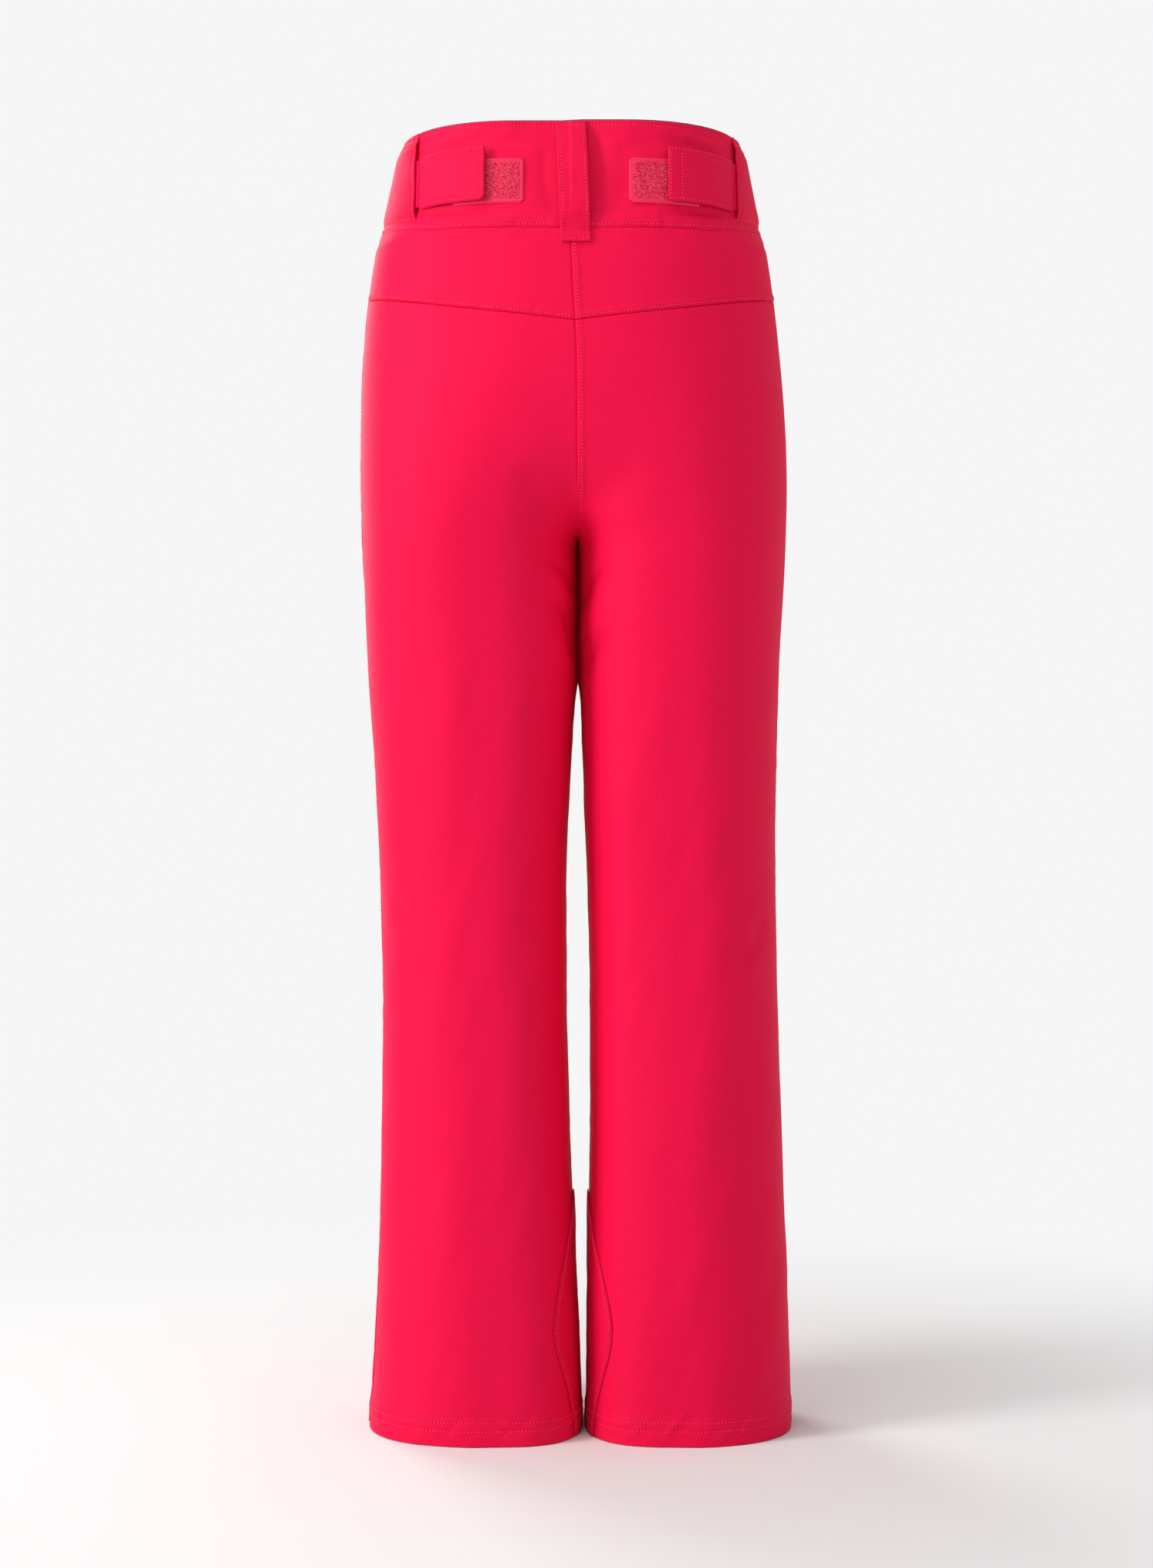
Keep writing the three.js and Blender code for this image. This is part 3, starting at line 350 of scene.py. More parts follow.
# ---------------------------------------------------------------- materials
def material(name, color, rough=0.8, sheen=0.0, sheen_rough=0.4, sheen_tint=None, metal=0.0, weave=0.0, weave_scale=1.0, mottle=0.0, spec=0.3, bump_noise=0.0, noise_scale=400.0):
    m = bpy.data.materials.new(name)
    m.use_nodes = True
    nt = m.node_tree
    n = nt.nodes
    bs = n["Principled BSDF"]
    bs.inputs["Base Color"].default_value = (*color, 1)
    bs.inputs["Roughness"].default_value = rough
    bs.inputs["Metallic"].default_value = metal
    bs.inputs["Specular IOR Level"].default_value = spec
    if sheen:
        bs.inputs["Sheen Weight"].default_value = sheen
        bs.inputs["Sheen Roughness"].default_value = sheen_rough
        bs.inputs["Sheen Tint"].default_value = (*(sheen_tint or color), 1)
    co = n.new("ShaderNodeTexCoord")
    height = None
    if weave:
        mp = n.new("ShaderNodeMapping")
        mp.inputs["Scale"].default_value = (weave_scale, weave_scale, weave_scale)
        nt.links.new(co.outputs["Object"], mp.inputs["Vector"])
        w1 = n.new("ShaderNodeTexWave")
        w1.wave_type, w1.bands_direction = "BANDS", "Z"
        w1.inputs["Scale"].default_value = 560.0
        w1.inputs["Distortion"].default_value = 0.6
        w1.inputs["Detail"].default_value = 1.0
        w2 = n.new("ShaderNodeTexWave")
        w2.wave_type, w2.bands_direction = "BANDS", "DIAGONAL"
        w2.inputs["Scale"].default_value = 420.0
        w2.inputs["Distortion"].default_value = 0.6
        for w in (w1, w2):
            nt.links.new(mp.outputs["Vector"], w.inputs["Vector"])
        ad = n.new("ShaderNodeMath")
        ad.operation = "ADD"
        nt.links.new(w1.outputs["Fac"], ad.inputs[0])
        nt.links.new(w2.outputs["Fac"], ad.inputs[1])
        height = ad.outputs[0]
        bu = n.new("ShaderNodeBump")
        bu.inputs["Strength"].default_value = weave
        bu.inputs["Distance"].default_value = 0.0002
        nt.links.new(height, bu.inputs["Height"])
        nt.links.new(bu.outputs["Normal"], bs.inputs["Normal"])
    if bump_noise:
        no = n.new("ShaderNodeTexNoise")
        no.inputs["Scale"].default_value = noise_scale
        no.inputs["Detail"].default_value = 4.0
        nt.links.new(co.outputs["Object"], no.inputs["Vector"])
        bu2 = n.new("ShaderNodeBump")
        bu2.inputs["Strength"].default_value = bump_noise
        bu2.inputs["Distance"].default_value = 0.0008
        nt.links.new(no.outputs["Fac"], bu2.inputs["Height"])
        if weave:
            nt.links.new(bu.outputs["Normal"], bu2.inputs["Normal"])
        nt.links.new(bu2.outputs["Normal"], bs.inputs["Normal"])
    if mottle:
        no = n.new("ShaderNodeTexNoise")
        no.inputs["Scale"].default_value = 900.0
        no.inputs["Detail"].default_value = 3.0
        nt.links.new(co.outputs["Object"], no.inputs["Vector"])
        rp = n.new("ShaderNodeValToRGB")
        rp.color_ramp.elements[0].position = 0.3
        rp.color_ramp.elements[1].position = 0.7
        lo = tuple(max(0.0, c * (1 - mottle)) for c in color)
        hi = tuple(min(1.0, c * (1 + mottle)) for c in color)
        rp.color_ramp.elements[0].color = (*lo, 1)
        rp.color_ramp.elements[1].color = (*hi, 1)
        nt.links.new(no.outputs["Fac"], rp.inputs["Fac"])
        nt.links.new(rp.outputs["Color"], bs.inputs["Base Color"])
    return m


RED = (0.80, 0.0012, 0.054)
CLOTH_KW = dict(rough=0.66, sheen=0.03, sheen_rough=0.4, sheen_tint=(1.0, 0.2, 0.35), weave=0.3, mottle=0.05, spec=0.12)
M_SHELL = material("shell_cloth", RED, **CLOTH_KW)
M_TRIM = material("shell_cloth_tab", (0.77, 0.0012, 0.052), **CLOTH_KW)
# thread: the red of the cloth lifted to a lighter pink, a painted highlight on the stitches
M_THREAD_HIGHLIGHT = material("thread", (0.95, 0.035, 0.12), rough=0.5, sheen=0.05, spec=0.3)
# needle holes: dark discs laid between the stitches, painted shade of the thread dimples
M_HOLE_SHADE = material("needle_hole", (0.40, 0.0, 0.024), rough=0.9, spec=0.05)
M_TAPE = material("tape_base", (0.80, 0.016, 0.08), rough=0.5, spec=0.3, bump_noise=0.3)
M_PILE = material("pile", (0.66, 0.003, 0.045), rough=0.9, sheen=0.15, spec=0.15)
M_PILE2 = material("pile_light", (0.98, 0.20, 0.30), rough=0.7, sheen=0.2, spec=0.4)
M_LINING = material("lining_cloth", (0.17, 0.15, 0.2), rough=0.7, sheen=0.4, sheen_tint=(0.7, 0.68, 0.78), weave=0.15, mottle=0.06)
M_FACING = material("facing_brushed", (0.13, 0.09, 0.13), rough=0.95, sheen=0.15, sheen_tint=(0.5, 0.4, 0.5), spec=0.05, bump_noise=0.5, noise_scale=900.0)
M_ELASTIC = material("elastic_black", (0.012, 0.012, 0.014), rough=0.75, sheen=0.3, weave=0.5)
M_METAL = material("snap_metal", (0.42, 0.42, 0.44), rough=0.34, metal=1.0)
M_COIL = material("coil", (0.6, 0.004, 0.05), rough=0.4, spec=0.5)
M_RUBBER = material("pull_rubber", (0.62, 0.004, 0.055), rough=0.45, spec=0.4)

PIECES = []


def put(ob, body=ROOT, replaces=()):
    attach(ob, body)
    if replaces:
        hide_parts(*replaces)
    PIECES.append(ob)
    return ob


# ---------------------------------------------------------------- relief of each panel
def L_of(side, back, z):
    return length(side, back, z)


def t_of(side, back, e, z):
    """Place round the body: 0 centre back, 0.5 side, 1 centre front."""
    L = L_of(side, back, z)
    k = np.clip(e / L, 0, 1)
    return 0.5 * (1 - k) if back else 0.5 + 0.5 * k


BACK_FOLDS = [
    # polyline in (x, z) of the back view, half width, height
]


def back_fields(side, x, z):
    """Broad soft forms of the back of the garment, in the plane of the back view."""
    h = np.zeros(np.shape(x))
    # long soft drape columns down the legs
    h += 0.9 * fbm(x / 46.0, z / 420.0, 3, 2) * sm((690 - z) / 140)
    h += 0.45 * fbm(x / 60.0, z / 90.0, 11, 2)
    h += 0.55 * fbm(x / 26.0 + z / 90.0, z / 130.0, 13, 2) * sm((700 - z) / 160)
    if side > 0:
        h += fold(x, z, [(46, 764), (26, 733), (8, 705)], 17, -3.2, 0.4)
        h += fold(x, z, [(24, 694), (9.5, 681), (0.5, 661)], 3.6, -2.2, 0.35) + fold(x, z, [(26, 684), (13, 668), (6, 650)], 7, 2.0, 0.4)
        h += fold(x, z, [(20, 662), (8, 646), (2, 606)], 3.6, -2.2, 0.35) + fold(x, z, [(26, 650), (14, 625), (8, 596)], 8, 2.0, 0.4)
        h += fold(x, z, [(44, 640), (50, 520), (54, 400), (40, 200)], 20, 1.5, 0.3)
        h += fold(x, z, [(150, 436), (133, 407), (118, 398)], 6, -1.5, 0.35) + fold(x, z, [(148, 404), (130, 380), (112, 372)], 9, 1.2, 0.4)
    else:
        h += fold(x, z, [(-50, 772), (-26, 738), (-7, 712)], 17, -2.2, 0.4)
        h += fold(x, z, [(-26, 690), (-10, 672), (-2.5, 646)], 4.2, -2.2, 0.35) + fold(x, z, [(-28, 672), (-16, 650), (-9, 622)], 8, 2.2, 0.4)
        h += fold(x, z, [(-26, 640), (-13, 618), (-4, 596)], 4.6, -1.9, 0.35)
        h += fold(x, z, [(-30, 600), (-34, 480), (-33, 360), (-31, 160)], 13, 1.3, 0.3)
        h += fold(x, z, [(-151, 418), (-141, 388), (-128, 372)], 6, -1.5, 0.35) + fold(x, z, [(-149, 390), (-136, 366), (-120, 352)], 9, 1.2, 0.4)
    return h


POCKET = {
    1: ((142.49, -57.64, 918.08), (-0.78158, -0.578434, 0.233551), (0.608268, -0.789723, 0.07967), (0.138357, 0.20433, 0.969075), 134.1485),
    -1: ((-134.19, -57.41, 917.99), (-0.767813, 0.608232, -0.20129), (-0.633284, -0.768107, 0.094672), (-0.097029, 0.200164, 0.974946), 133.3407),
}
POCKET = {k: tuple(np.array(v) if i < 4 else v for i, v in enumerate(p)) for k, p in POCKET.items()}
POCKET = {k: (p[0] - p[3] * (p[4] - 8), p[1], p[2], p[3], p[4]) for k, p in POCKET.items()}


def pocket_calm(side, P):
    """1 round the pocket zip, where the cloth lies flat for the pull, 0 away from it."""
    O, X, Y, Zv, LP = POCKET[side]
    d = P - O
    lx, lz = np.abs(d @ X), d @ Zv
    return sm((27 - lx) / 12) * sm((lz + 52) / 14) * sm((LP + 24 - lz) / 12) * (P[..., 1] < 0)


def leg_relief(side, back, e, z, P):
    L = L_of(side, back, z)
    d_in = L - e
    x = P[..., 0]
    h = np.zeros(np.shape(e))
    if back:
        h += back_fields(side, x, z)
        # centre back seam, felled to the wearer's right, and the inseam below it
        hi = z > CROTCH
        sgn = 1.0 if side < 0 else -1.0
        cb = seam_relief(sgn * d_in, z, 21, felled=0.8, rows=(3.3,), pucker=0.22, width=6.4) * sm((z - 712) / 14)
        ins = seam_relief(-d_in, z, 22, felled=0, rows=(), pucker=0.2) * sm((712 - z) / 14)
        h += cb + ins
        # yoke seam above
        t = t_of(side, back, e, z)
        zy = F["Z_YOKE"](t)
        dy = (zy - z) * 0.985
        h += np.where(dy < 60, seam_relief(-dy, x + 400, 23, felled=0, rows=(), pucker=0.3), 0)
        # side seam
        h += seam_relief(-e, z, 24, felled=0, rows=(), pucker=0.2)
    else:
        h += 0.9 * fbm(x / 46.0, z / 420.0, 5, 2) * sm((690 - z) / 140) + 0.45 * fbm(x / 60.0, z / 90.0, 12, 2)
        sgn = 1.0 if side < 0 else -1.0
        h += seam_relief(sgn * d_in, z, 31, felled=1.0, rows=(3.3,), pucker=0.2, width=6.4) * sm((z - 712) / 14) * (1 - sm((z - 772) / 8))
        h += seam_relief(-d_in, z, 32, felled=0, rows=(), pucker=0.2) * sm((712 - z) / 14)
        h += seam_relief(e, z, 33, felled=1.0, rows=(3.2,), pucker=0.2, width=6.0)
        t = t_of(side, back, e, z)
        dw = (F["Z_WAIST"](t) - z) * 0.985
        h += np.where(dw < 60, seam_relief(-dw, x + 400, 34, felled=0, rows=(), pucker=0.35), 0)
    if not back:
        m = pocket_calm(side, P)
        h = h * (1 - m) - 0.45 * m
    # the thighs press together below the crotch
    h = h + 2.6 * gauss(d_in, 18) * sm((z - 578) / 30) * sm((711.0 - z) / 9)
    # both sides meet in the saddle of the crotch
    k = gauss(d_in, 4.0) * sm((z - 699) / 8) * sm((756 - z) / 16)
    h = h * (1 - k) + 0.4 * k
    # hem: doubled cloth below the upper stitch row
    h = h + 0.5 * (1 - sm((z - 19) / 3.0)) + hem_rows(z, e, x)
    return h


def soften(P, Z, D, zc=708.0, half=20.0):
    """Rounds the bend where the legs part, away from the seam."""
    zr = Z[:, 0]
    idx = np.where(np.abs(zr - zc) < half)[0]
    out = P.copy()
    n = np.where(zr < 836)[0]
    for j in range(P.shape[1]):
        for k in (0, 1):
            c = P[n, j, k]
            s_ = 8.0 * (1 - np.abs(zr[idx] - zc) / half)
            acc = sum(np.interp(zr[idx] + f * s_, zr[n], c) for f in (-1, -0.66, -0.33, 0, 0.33, 0.66, 1)) / 7
            w = sm((D[idx, j] - 8) / 22)
            out[idx, j, k] = lerp(P[idx, j, k], acc, w)
    return out


def hem_rows(z, e, x):
    h = 0
    for r in (11.5, 17.9):
        h = h - 0.35 * gauss(z - r, 0.9)
    h = h + 0.6 * fbm((x + 0.8 * z) / 9.0, z / 22.0, 41, 2) * gauss(z - 14.7, 10.0)
    return h


def cols(n, dense=2.0, edge=10.0, total=230.0):
    """n + 1 places from 0 to 1, closer together near both ends."""
    k = np.linspace(0, 1, 4001)
    pos = k * total
    w = 1 + dense * (np.exp(-pos / edge) + np.exp(-(total - pos) / edge))
    c = np.concatenate([[0], np.cumsum((w[1:] + w[:-1]) / 2)])
    c /= c[-1]
    return np.interp(np.linspace(0, 1, n + 1), c, k)


def with_rim(P, N, depth=2.6, sides="tblr"):
    """Adds a rim of points tucked inwards along the chosen edges of a grid (rows go up)."""
    def tuck(p, n):
        return p - n * depth

    if "b" in sides:
        P = np.concatenate([tuck(P[:1], N[:1]), P], 0); N = np.concatenate([N[:1], N], 0)
    if "t" in sides:
        P = np.concatenate([P, tuck(P[-1:], N[-1:])], 0); N = np.concatenate([N, N[-1:]], 0)
    if "l" in sides:
        P = np.concatenate([tuck(P[:, :1], N[:, :1]), P], 1); N = np.concatenate([N[:, :1], N], 1)
    if "r" in sides:
        P = np.concatenate([P, tuck(P[:, -1:], N[:, -1:])], 1); N = np.concatenate([N, N[:, -1:]], 1)
    return P


def flipped(side, back):
    return (side > 0) != bool(back)


def declare_sheet(P):
    """Widest row by longest column of the undisplaced surface, in metres; neither is kept."""
    w = np.linalg.norm(np.diff(P, axis=1), axis=-1).sum(1).max()
    l = np.linalg.norm(np.diff(P, axis=0), axis=-1).sum(0).max()
    w, l = round(float(w) / 1000, 4), round(float(l) / 1000, 4)


Q = 1.0


def leg_rows(back):
    z = [0.0, 0.6, 1.4, 2.6]
    z += list(np.arange(4.2, 30, 1.3))
    z += list(np.arange(31.5, CROTCH - 1, 2.5 / Q))
    z += [CROTCH, 708.12, 708.35, 708.7, 709.2, 709.9, 710.8, 712, 713.5, 715.3, 717.3]
    z += list(np.arange(719.5, 838, 2.3 / Q))
    return np.array(z)


def leg_panel(side, back):
    n = int(118 * Q)
    kap = cols(n, 2.2, 9.0)
    zr = leg_rows(back)
    ze = F["Z_YOKE"] if back else F["Z_WAIST"]
    zt = 0.2 if back else -0.35
    top0 = zr[-1]
    k_up = np.unique(np.concatenate([np.linspace(0, 0.72, int((14 if back else 34) * Q) + 2), np.linspace(0.72, 1, 16)]))[1:]
    Z = np.repeat(zr[:, None], n + 1, 1)
    Lr = L_of(side, back, zr)
    Lref = np.where(zr <= CROTCH, Lr, L_of(side, back, np.array([CROTCH]))[0] + (zr - CROTCH) * 0.05)
    ea = np.minimum(kap[None] * Lref[:, None], Lr[:, None])
    ef = kap[None] * Lr[:, None]
    E = lerp(ea, ef, sm((zr[:, None] - 722) / 75))
    # rows above follow the seam
    t = 0.5 * (1 - kap) if back else 0.5 + 0.5 * kap
    ztop = ze(t) - zt
    Zu = lerp(top0, ztop[None], k_up[:, None])
    Lu = L_of(side, back, Zu)
    Eu = kap[None] * Lu
    Z = np.concatenate([Z, Zu]); E = np.concatenate([E, Eu])
    if not back:
        # the front edge is cut back for the fly
        Lz = L_of(side, back, Z)
        x_edge = -14.8 if side > 0 else -36.9
        seam = F["SEAM_X"](Z)
        want = (seam - x_edge) if side > 0 else (seam - x_edge)
        k = sm((Z - 774) / 12)
        if side > 0:
            over = k * want  # runs past the centre
            E = E * (Lz + over) / Lz
        else:
            E = E * (Lz - k * want * 1.002) / Lz
    return Z, E


def surf2(side, back, e, z):
    """As place and normals, but e may run past the centre onto the other side."""
    L = L_of(side, back, z)
    past = e > L - 0.05
    P = place(side, back, np.minimum(e, L), z)
    N = normals(side, back, np.minimum(e, L), z)
    if back or not (past & (z > 770)).any():
        return P, N
    L2 = L_of(-side, back, z)
    e2 = np.clip(L2 - (e - L), 0, L2)
    P2 = place(-side, back, e2, z)
    N2 = normals(-side, back, e2, z)
    m = (past & (z > 770))[..., None]
    return np.where(m, P2, P), np.where(m, N2, N)


def shrink(E, side, back, Z, gap=0.2):
    L = L_of(side, back, Z)
    return np.clip(E, gap, None) if (not back) else np.clip(E, gap, np.maximum(L - 0.01, gap))


def cut_slot(ob, O, X, Y, Zv, half, lo, hi):
    """Opens the pocket slit; its edge is covered by the welt."""
    bm = bmesh.new()
    bm.from_mesh(ob.data)
    kill = []
    for f in bm.faces:
        c = f.calc_center_median()
        if c.y > 0 or c.z < 0.76 or c.z > 0.95:
            continue
        d = np.array(c) * 1000 - O
        if abs(d @ X) < half and lo < d @ Zv < hi and abs(d @ Y) < 14:
            kill.append(f)
    bmesh.ops.delete(bm, geom=kill, context="FACES")
    bm.to_mesh(ob.data)
    bm.free()


for side, sd in ((1, "left"), (-1, "right")):
    for back in (True, False):
        Z, E = leg_panel(side, back)
        E = shrink(E, side, back, Z)
        P, N = surf2(side, back, E, Z)
        P = soften(P, Z, L_of(side, back, Z) - E)
        base = P
        h = leg_relief(side, back, E, Z, P)
        P = P + N * h[..., None]
        P[..., 2] = np.maximum(P[..., 2], 0.02)
        G = with_rim(P, N, 2.4, "tlr")
        ob = grid_obj(f"cloth_{'back' if back else 'front'}_leg_{sd}", G, M_SHELL, flip=flipped(side, back))
        if not back:
            O, X, Y, Zv, LP = POCKET[side]
            cut_slot(ob, O, X, Y, Zv, 5.6, -7.4, LP + 2.9)
        put(ob, replaces=[f"{'back' if back else 'front'}_leg_{sd}"])
        declare_sheet(base)


# ---------------------------------------------------------------- closed cloth pieces
def slab_obj(name, Po, Pi, mat, flip=False):
    nv, nu = Po.shape[:2]
    n = nv * nu
    f = grid_faces(nv, nu)
    w = []
    for i in range(nu - 1):
        w.append((i, n + i, n + i + 1, i + 1))
        a = (nv - 1) * nu + i
        w.append((a, a + 1, n + a + 1, n + a))
    for j in range(nv - 1):
        a, b = j * nu, j * nu + nu - 1
        w.append((a, a + nu, n + a + nu, n + a))
        w.append((b, n + b, n + b + nu, b + nu))
    faces = np.concatenate([f, f[:, ::-1] + n, np.array(w)])
    v = np.concatenate([Po.reshape(-1, 3), Pi.reshape(-1, 3)])
    c = v - v.mean(0)
    a, b, d, e = (c[faces[:, i]] for i in range(4))
    vol = (a * np.cross(b, d)).sum() + (a * np.cross(d, e)).sum()
    if vol < 0:  # turned so that it faces out
        faces = faces[:, ::-1]
    return mesh_from(name, v, faces, mat)


def round_edge(u, v, w, l, r):
    """0 at the edge of a w by l rectangle and 1 from r inwards, as a quarter round; u, v from 0 to 1."""
    d = np.minimum(np.minimum(u * w, (1 - u) * w), np.minimum(v * l, (1 - v) * l))
    d = np.clip(d / r, 0, 1)
    return np.sqrt(1 - (1 - d) ** 2)


def ez_from_x(side, back, x, z):
    """Distance from the side seam of the point with this x, at height z (x on that side of the centre)."""
    x, z = np.broadcast_arrays(np.asarray(x, float), np.asarray(z, float))
    shape = x.shape
    x, z = x.reshape(-1), z.reshape(-1)
    zu, inv = np.unique(np.round(z, 3), return_inverse=True)
    X, Y, S_, seam = ring(side, back, zu)
    out = np.empty(len(z))
    for i in range(len(z)):
        j = inv[i]
        t = side * (x[i] - seam[j])
        out[i] = S_[j, -1] - np.interp(t, X[j], S_[j])
    return out.reshape(shape)


def split_x(back, x, z, o=0.0):
    """Point and normal at signed x on the back or front surface, either side of the centre."""
    x, z = np.broadcast_arrays(np.asarray(x, float), np.asarray(z, float))
    seam = F["SEAM_X"](z)
    P = np.empty(x.shape + (3,))
    N = np.empty_like(P)
    for side in (1, -1):
        m = (x >= seam) if side > 0 else (x < seam)
        if m.any():
            e = ez_from_x(side, back, x[m], z[m])
            P[m] = place(side, back, e, z[m])
            N[m] = normals(side, back, e, z[m])
    return P + N * np.broadcast_to(o, x.shape)[..., None], N


# ---------------------------------------------------------------- yokes
def ends(n, dense=2.5, edge=6.0, total=60.0):
    return cols(n, dense, edge, total)


def yoke_relief(side, back, e, z, P, t, L):
    x = P[..., 0]
    zy, zw = F["Z_YOKE"](t), F["Z_WAIST"](t)
    h = 0.45 * fbm(x / 60.0, z / 90.0, 11, 2)
    h = h + seam_relief((z - zy) * 0.985, x + 400, 23, felled=1.0, rows=(2.4,), pucker=0.3, width=6.0)
    h = h + seam_relief(-(zw - z), x + 400, 26, felled=0, rows=(), pucker=0.55)
    sgn = 1.0 if side < 0 else -1.0
    h = h + seam_relief(sgn * (L - e), z, 21, felled=1.0, rows=(3.3,), pucker=0.25, width=6.4)
    h = h + seam_relief(-e, z, 27, felled=0, rows=(), pucker=0.2)
    return h


for side, sd in ((1, "left"), (-1, "right")):
    kap, rows = cols(int(110 * Q), 2.2, 9.0), ends(int(48 * Q) + 4)
    t = 0.5 * (1 - kap)
    za, zb = F["Z_YOKE"](t) + 0.2, F["Z_WAIST"](t) + 0.35
    Z = lerp(za[None], zb[None], rows[:, None])
    L = L_of(side, True, Z)
    E = np.clip(kap[None] * L, 0.1, L - 0.02)
    P, N = place(side, True, E, Z), normals(side, True, E, Z)
    h = yoke_relief(side, True, E, Z, P, np.broadcast_to(t[None], Z.shape), L)
    G = with_rim(P + N * h[..., None], N, 2.4, "tblr")
    ob = grid_obj(f"cloth_yoke_{sd}", G, M_SHELL, flip=flipped(side, True))
    put(ob, replaces=[f"back_yoke_{sd}"])
    declare_sheet(P)


# ---------------------------------------------------------------- waistband
def band_off(z, t, x):
    zw, zt = F["Z_WAIST"](t), F["Z_TOP"](t)
    d = z - zw
    o = -1.0 + (BAND_OUT + 1.0) * sm((d - 3) / 15)
    o = o + seam_relief(d, x + 400, 28, felled=1.0, rows=(3.1,), pucker=0.5, width=6.2)
    dt = zt - z
    hole = 0.6 + 0.4 * np.cos(2 * np.pi * x / 3.3)
    o = o - 0.55 * hole * gauss(dt - 3.6, 0.9) + 0.25 * gauss(dt - 1.6, 1.4) + 0.3 * fbm(x / 10.0, dt / 12.0, 29, 2) * gauss(dt - 4, 8)
    return o


def back_buckle(x, z):
    """Soft buckles of the waistband where the tabs pull it in and the loop holds it."""
    h = 0
    h = h + fold(x, z, [(-14, 1022), (-17, 990), (-12, 955)], 4.5, -1.5)
    h = h + fold(x, z, [(-27, 1018), (-29, 985), (-22, 955)], 7, 0.9)
    h = h + fold(x, z, [(24, 1018), (25, 985), (20, 955)], 5, -0.8)
    h = h + fold(x, z, [(40, 1016), (62, 1012), (96, 1016)], 4, -0.6)
    h = h + fold(x, z, [(-40, 1012), (-62, 1014), (-98, 1012)], 4, -0.6)
    h = h + fold(x, z, [(60, 956), (85, 957), (112, 961)], 3.5, -0.8)
    h = h + fold(x, z, [(-60, 956), (-85, 957), (-112, 961)], 3.5, -0.8)
    h = h + 0.5 * fbm(x / 34.0, z / 30.0, 61, 2)
    return h


def band_strip(side, back, frac0, frac1, n, zlow=0.2, ztop=-0.4):
    """Grid of the band between two fractions of the half ring, measured from the side."""
    kap = np.linspace(frac0, frac1, n + 1)
    rows = ends(int(56 * Q) + 4, 2.5, 7.0, 88)
    t = 0.5 * (1 - kap) if back else 0.5 + 0.5 * kap
    za, zb = F["Z_WAIST"](t) + zlow, F["Z_TOP"](t) + ztop
    Z = lerp(za[None], zb[None], rows[:, None])
    L = L_of(side, back, Z)
    return kap[None] * L, Z, np.broadcast_to(t[None], Z.shape), L


def joined(parts):
    return np.concatenate(parts, 1)


def band_piece(name, segs, mat, off, rim="tblr", **kw):
    """One piece made of runs (side, back, frac0, frac1, n), laid end to end."""
    Ps, Ns = [], []
    for i, (side, back, f0, f1, n) in enumerate(segs):
        E, Z, t, L = band_strip(side, back, f0, f1, n, **kw)
        P, N = place(side, back, E, Z), normals(side, back, E, Z)
        o = off(P, Z, t, side, back)
        P = P + N * o[..., None]
        if i:
            P, N = P[:, 1:], N[:, 1:]
        Ps.append(P); Ns.append(N)
    P, N = joined(Ps), joined(Ns)
    return P, N


def band_pulls(x, z):
    ax = np.abs(x)
    h = fold(ax, z, [(124, 1009), (100, 1012), (66, 1019)], 3.2, -1.1, 0.35) + fold(ax, z, [(124, 1014), (98, 1018), (70, 1023)], 4.0, 0.8, 0.35)
    h = h + fold(ax, z, [(125, 961), (104, 958), (84, 956)], 2.8, -0.8, 0.35) + fold(ax, z, [(30, 1006), (48, 1010), (74, 1008)], 5.0, -0.8, 0.4)
    return h


def off_back(P, Z, t, side, back):
    return (band_pulls(P[..., 0], Z) if back else 0.0) + band_off(Z, t, P[..., 0] + 0 * P[..., 1]) + (back_buckle(P[..., 0], Z) if back else 0.5 * fbm(P[..., 0] / 34.0, Z / 30.0, 62, 2))


n_b = int(120 * Q)
zz = np.array([960.0, 980.0, 1000.0])
FRONT_R_END = float((ez_from_x(-1, False, np.full(3, -36.6), zz) / L_of(-1, False, zz)).min())
P, N = band_piece("b", [(1, True, 0.003, 1.0, n_b), (-1, True, 1.0, 0.003, n_b)], M_SHELL, off_back)
ob = grid_obj("cloth_waistband_back", with_rim(P, N, 1.5, "tblr"), M_SHELL)
put(ob, replaces=["waistband_back"])
declare_sheet(P)
for side, sd in ((1, "left"), (-1, "right")):
    # fraction of the half ring where the band stops: under the overlap on the left, at the fold on the right
    P, N = band_piece("f", [(side, False, 0.003, 0.995 if side > 0 else FRONT_R_END, int(80 * Q))], M_SHELL, off_back)
    if side > 0:
        P2, N2 = band_piece("f", [(1, False, 0.003, 1.0, int(80 * Q)), (-1, False, 1.0, 0.83, int(14 * Q) + 3)], M_SHELL, off_back)
        P, N = P2, N2
    ob = grid_obj(f"cloth_waistband_front_{sd}", with_rim(P, N, 1.3, "tblr"), M_SHELL, flip=flipped(side, False))
    put(ob, replaces=[f"waistband_front_{sd}"])
    declare_sheet(P)


# ---------------------------------------------------------------- thread
STITCH, HOLE_SHADE_DISCS = {}, {}


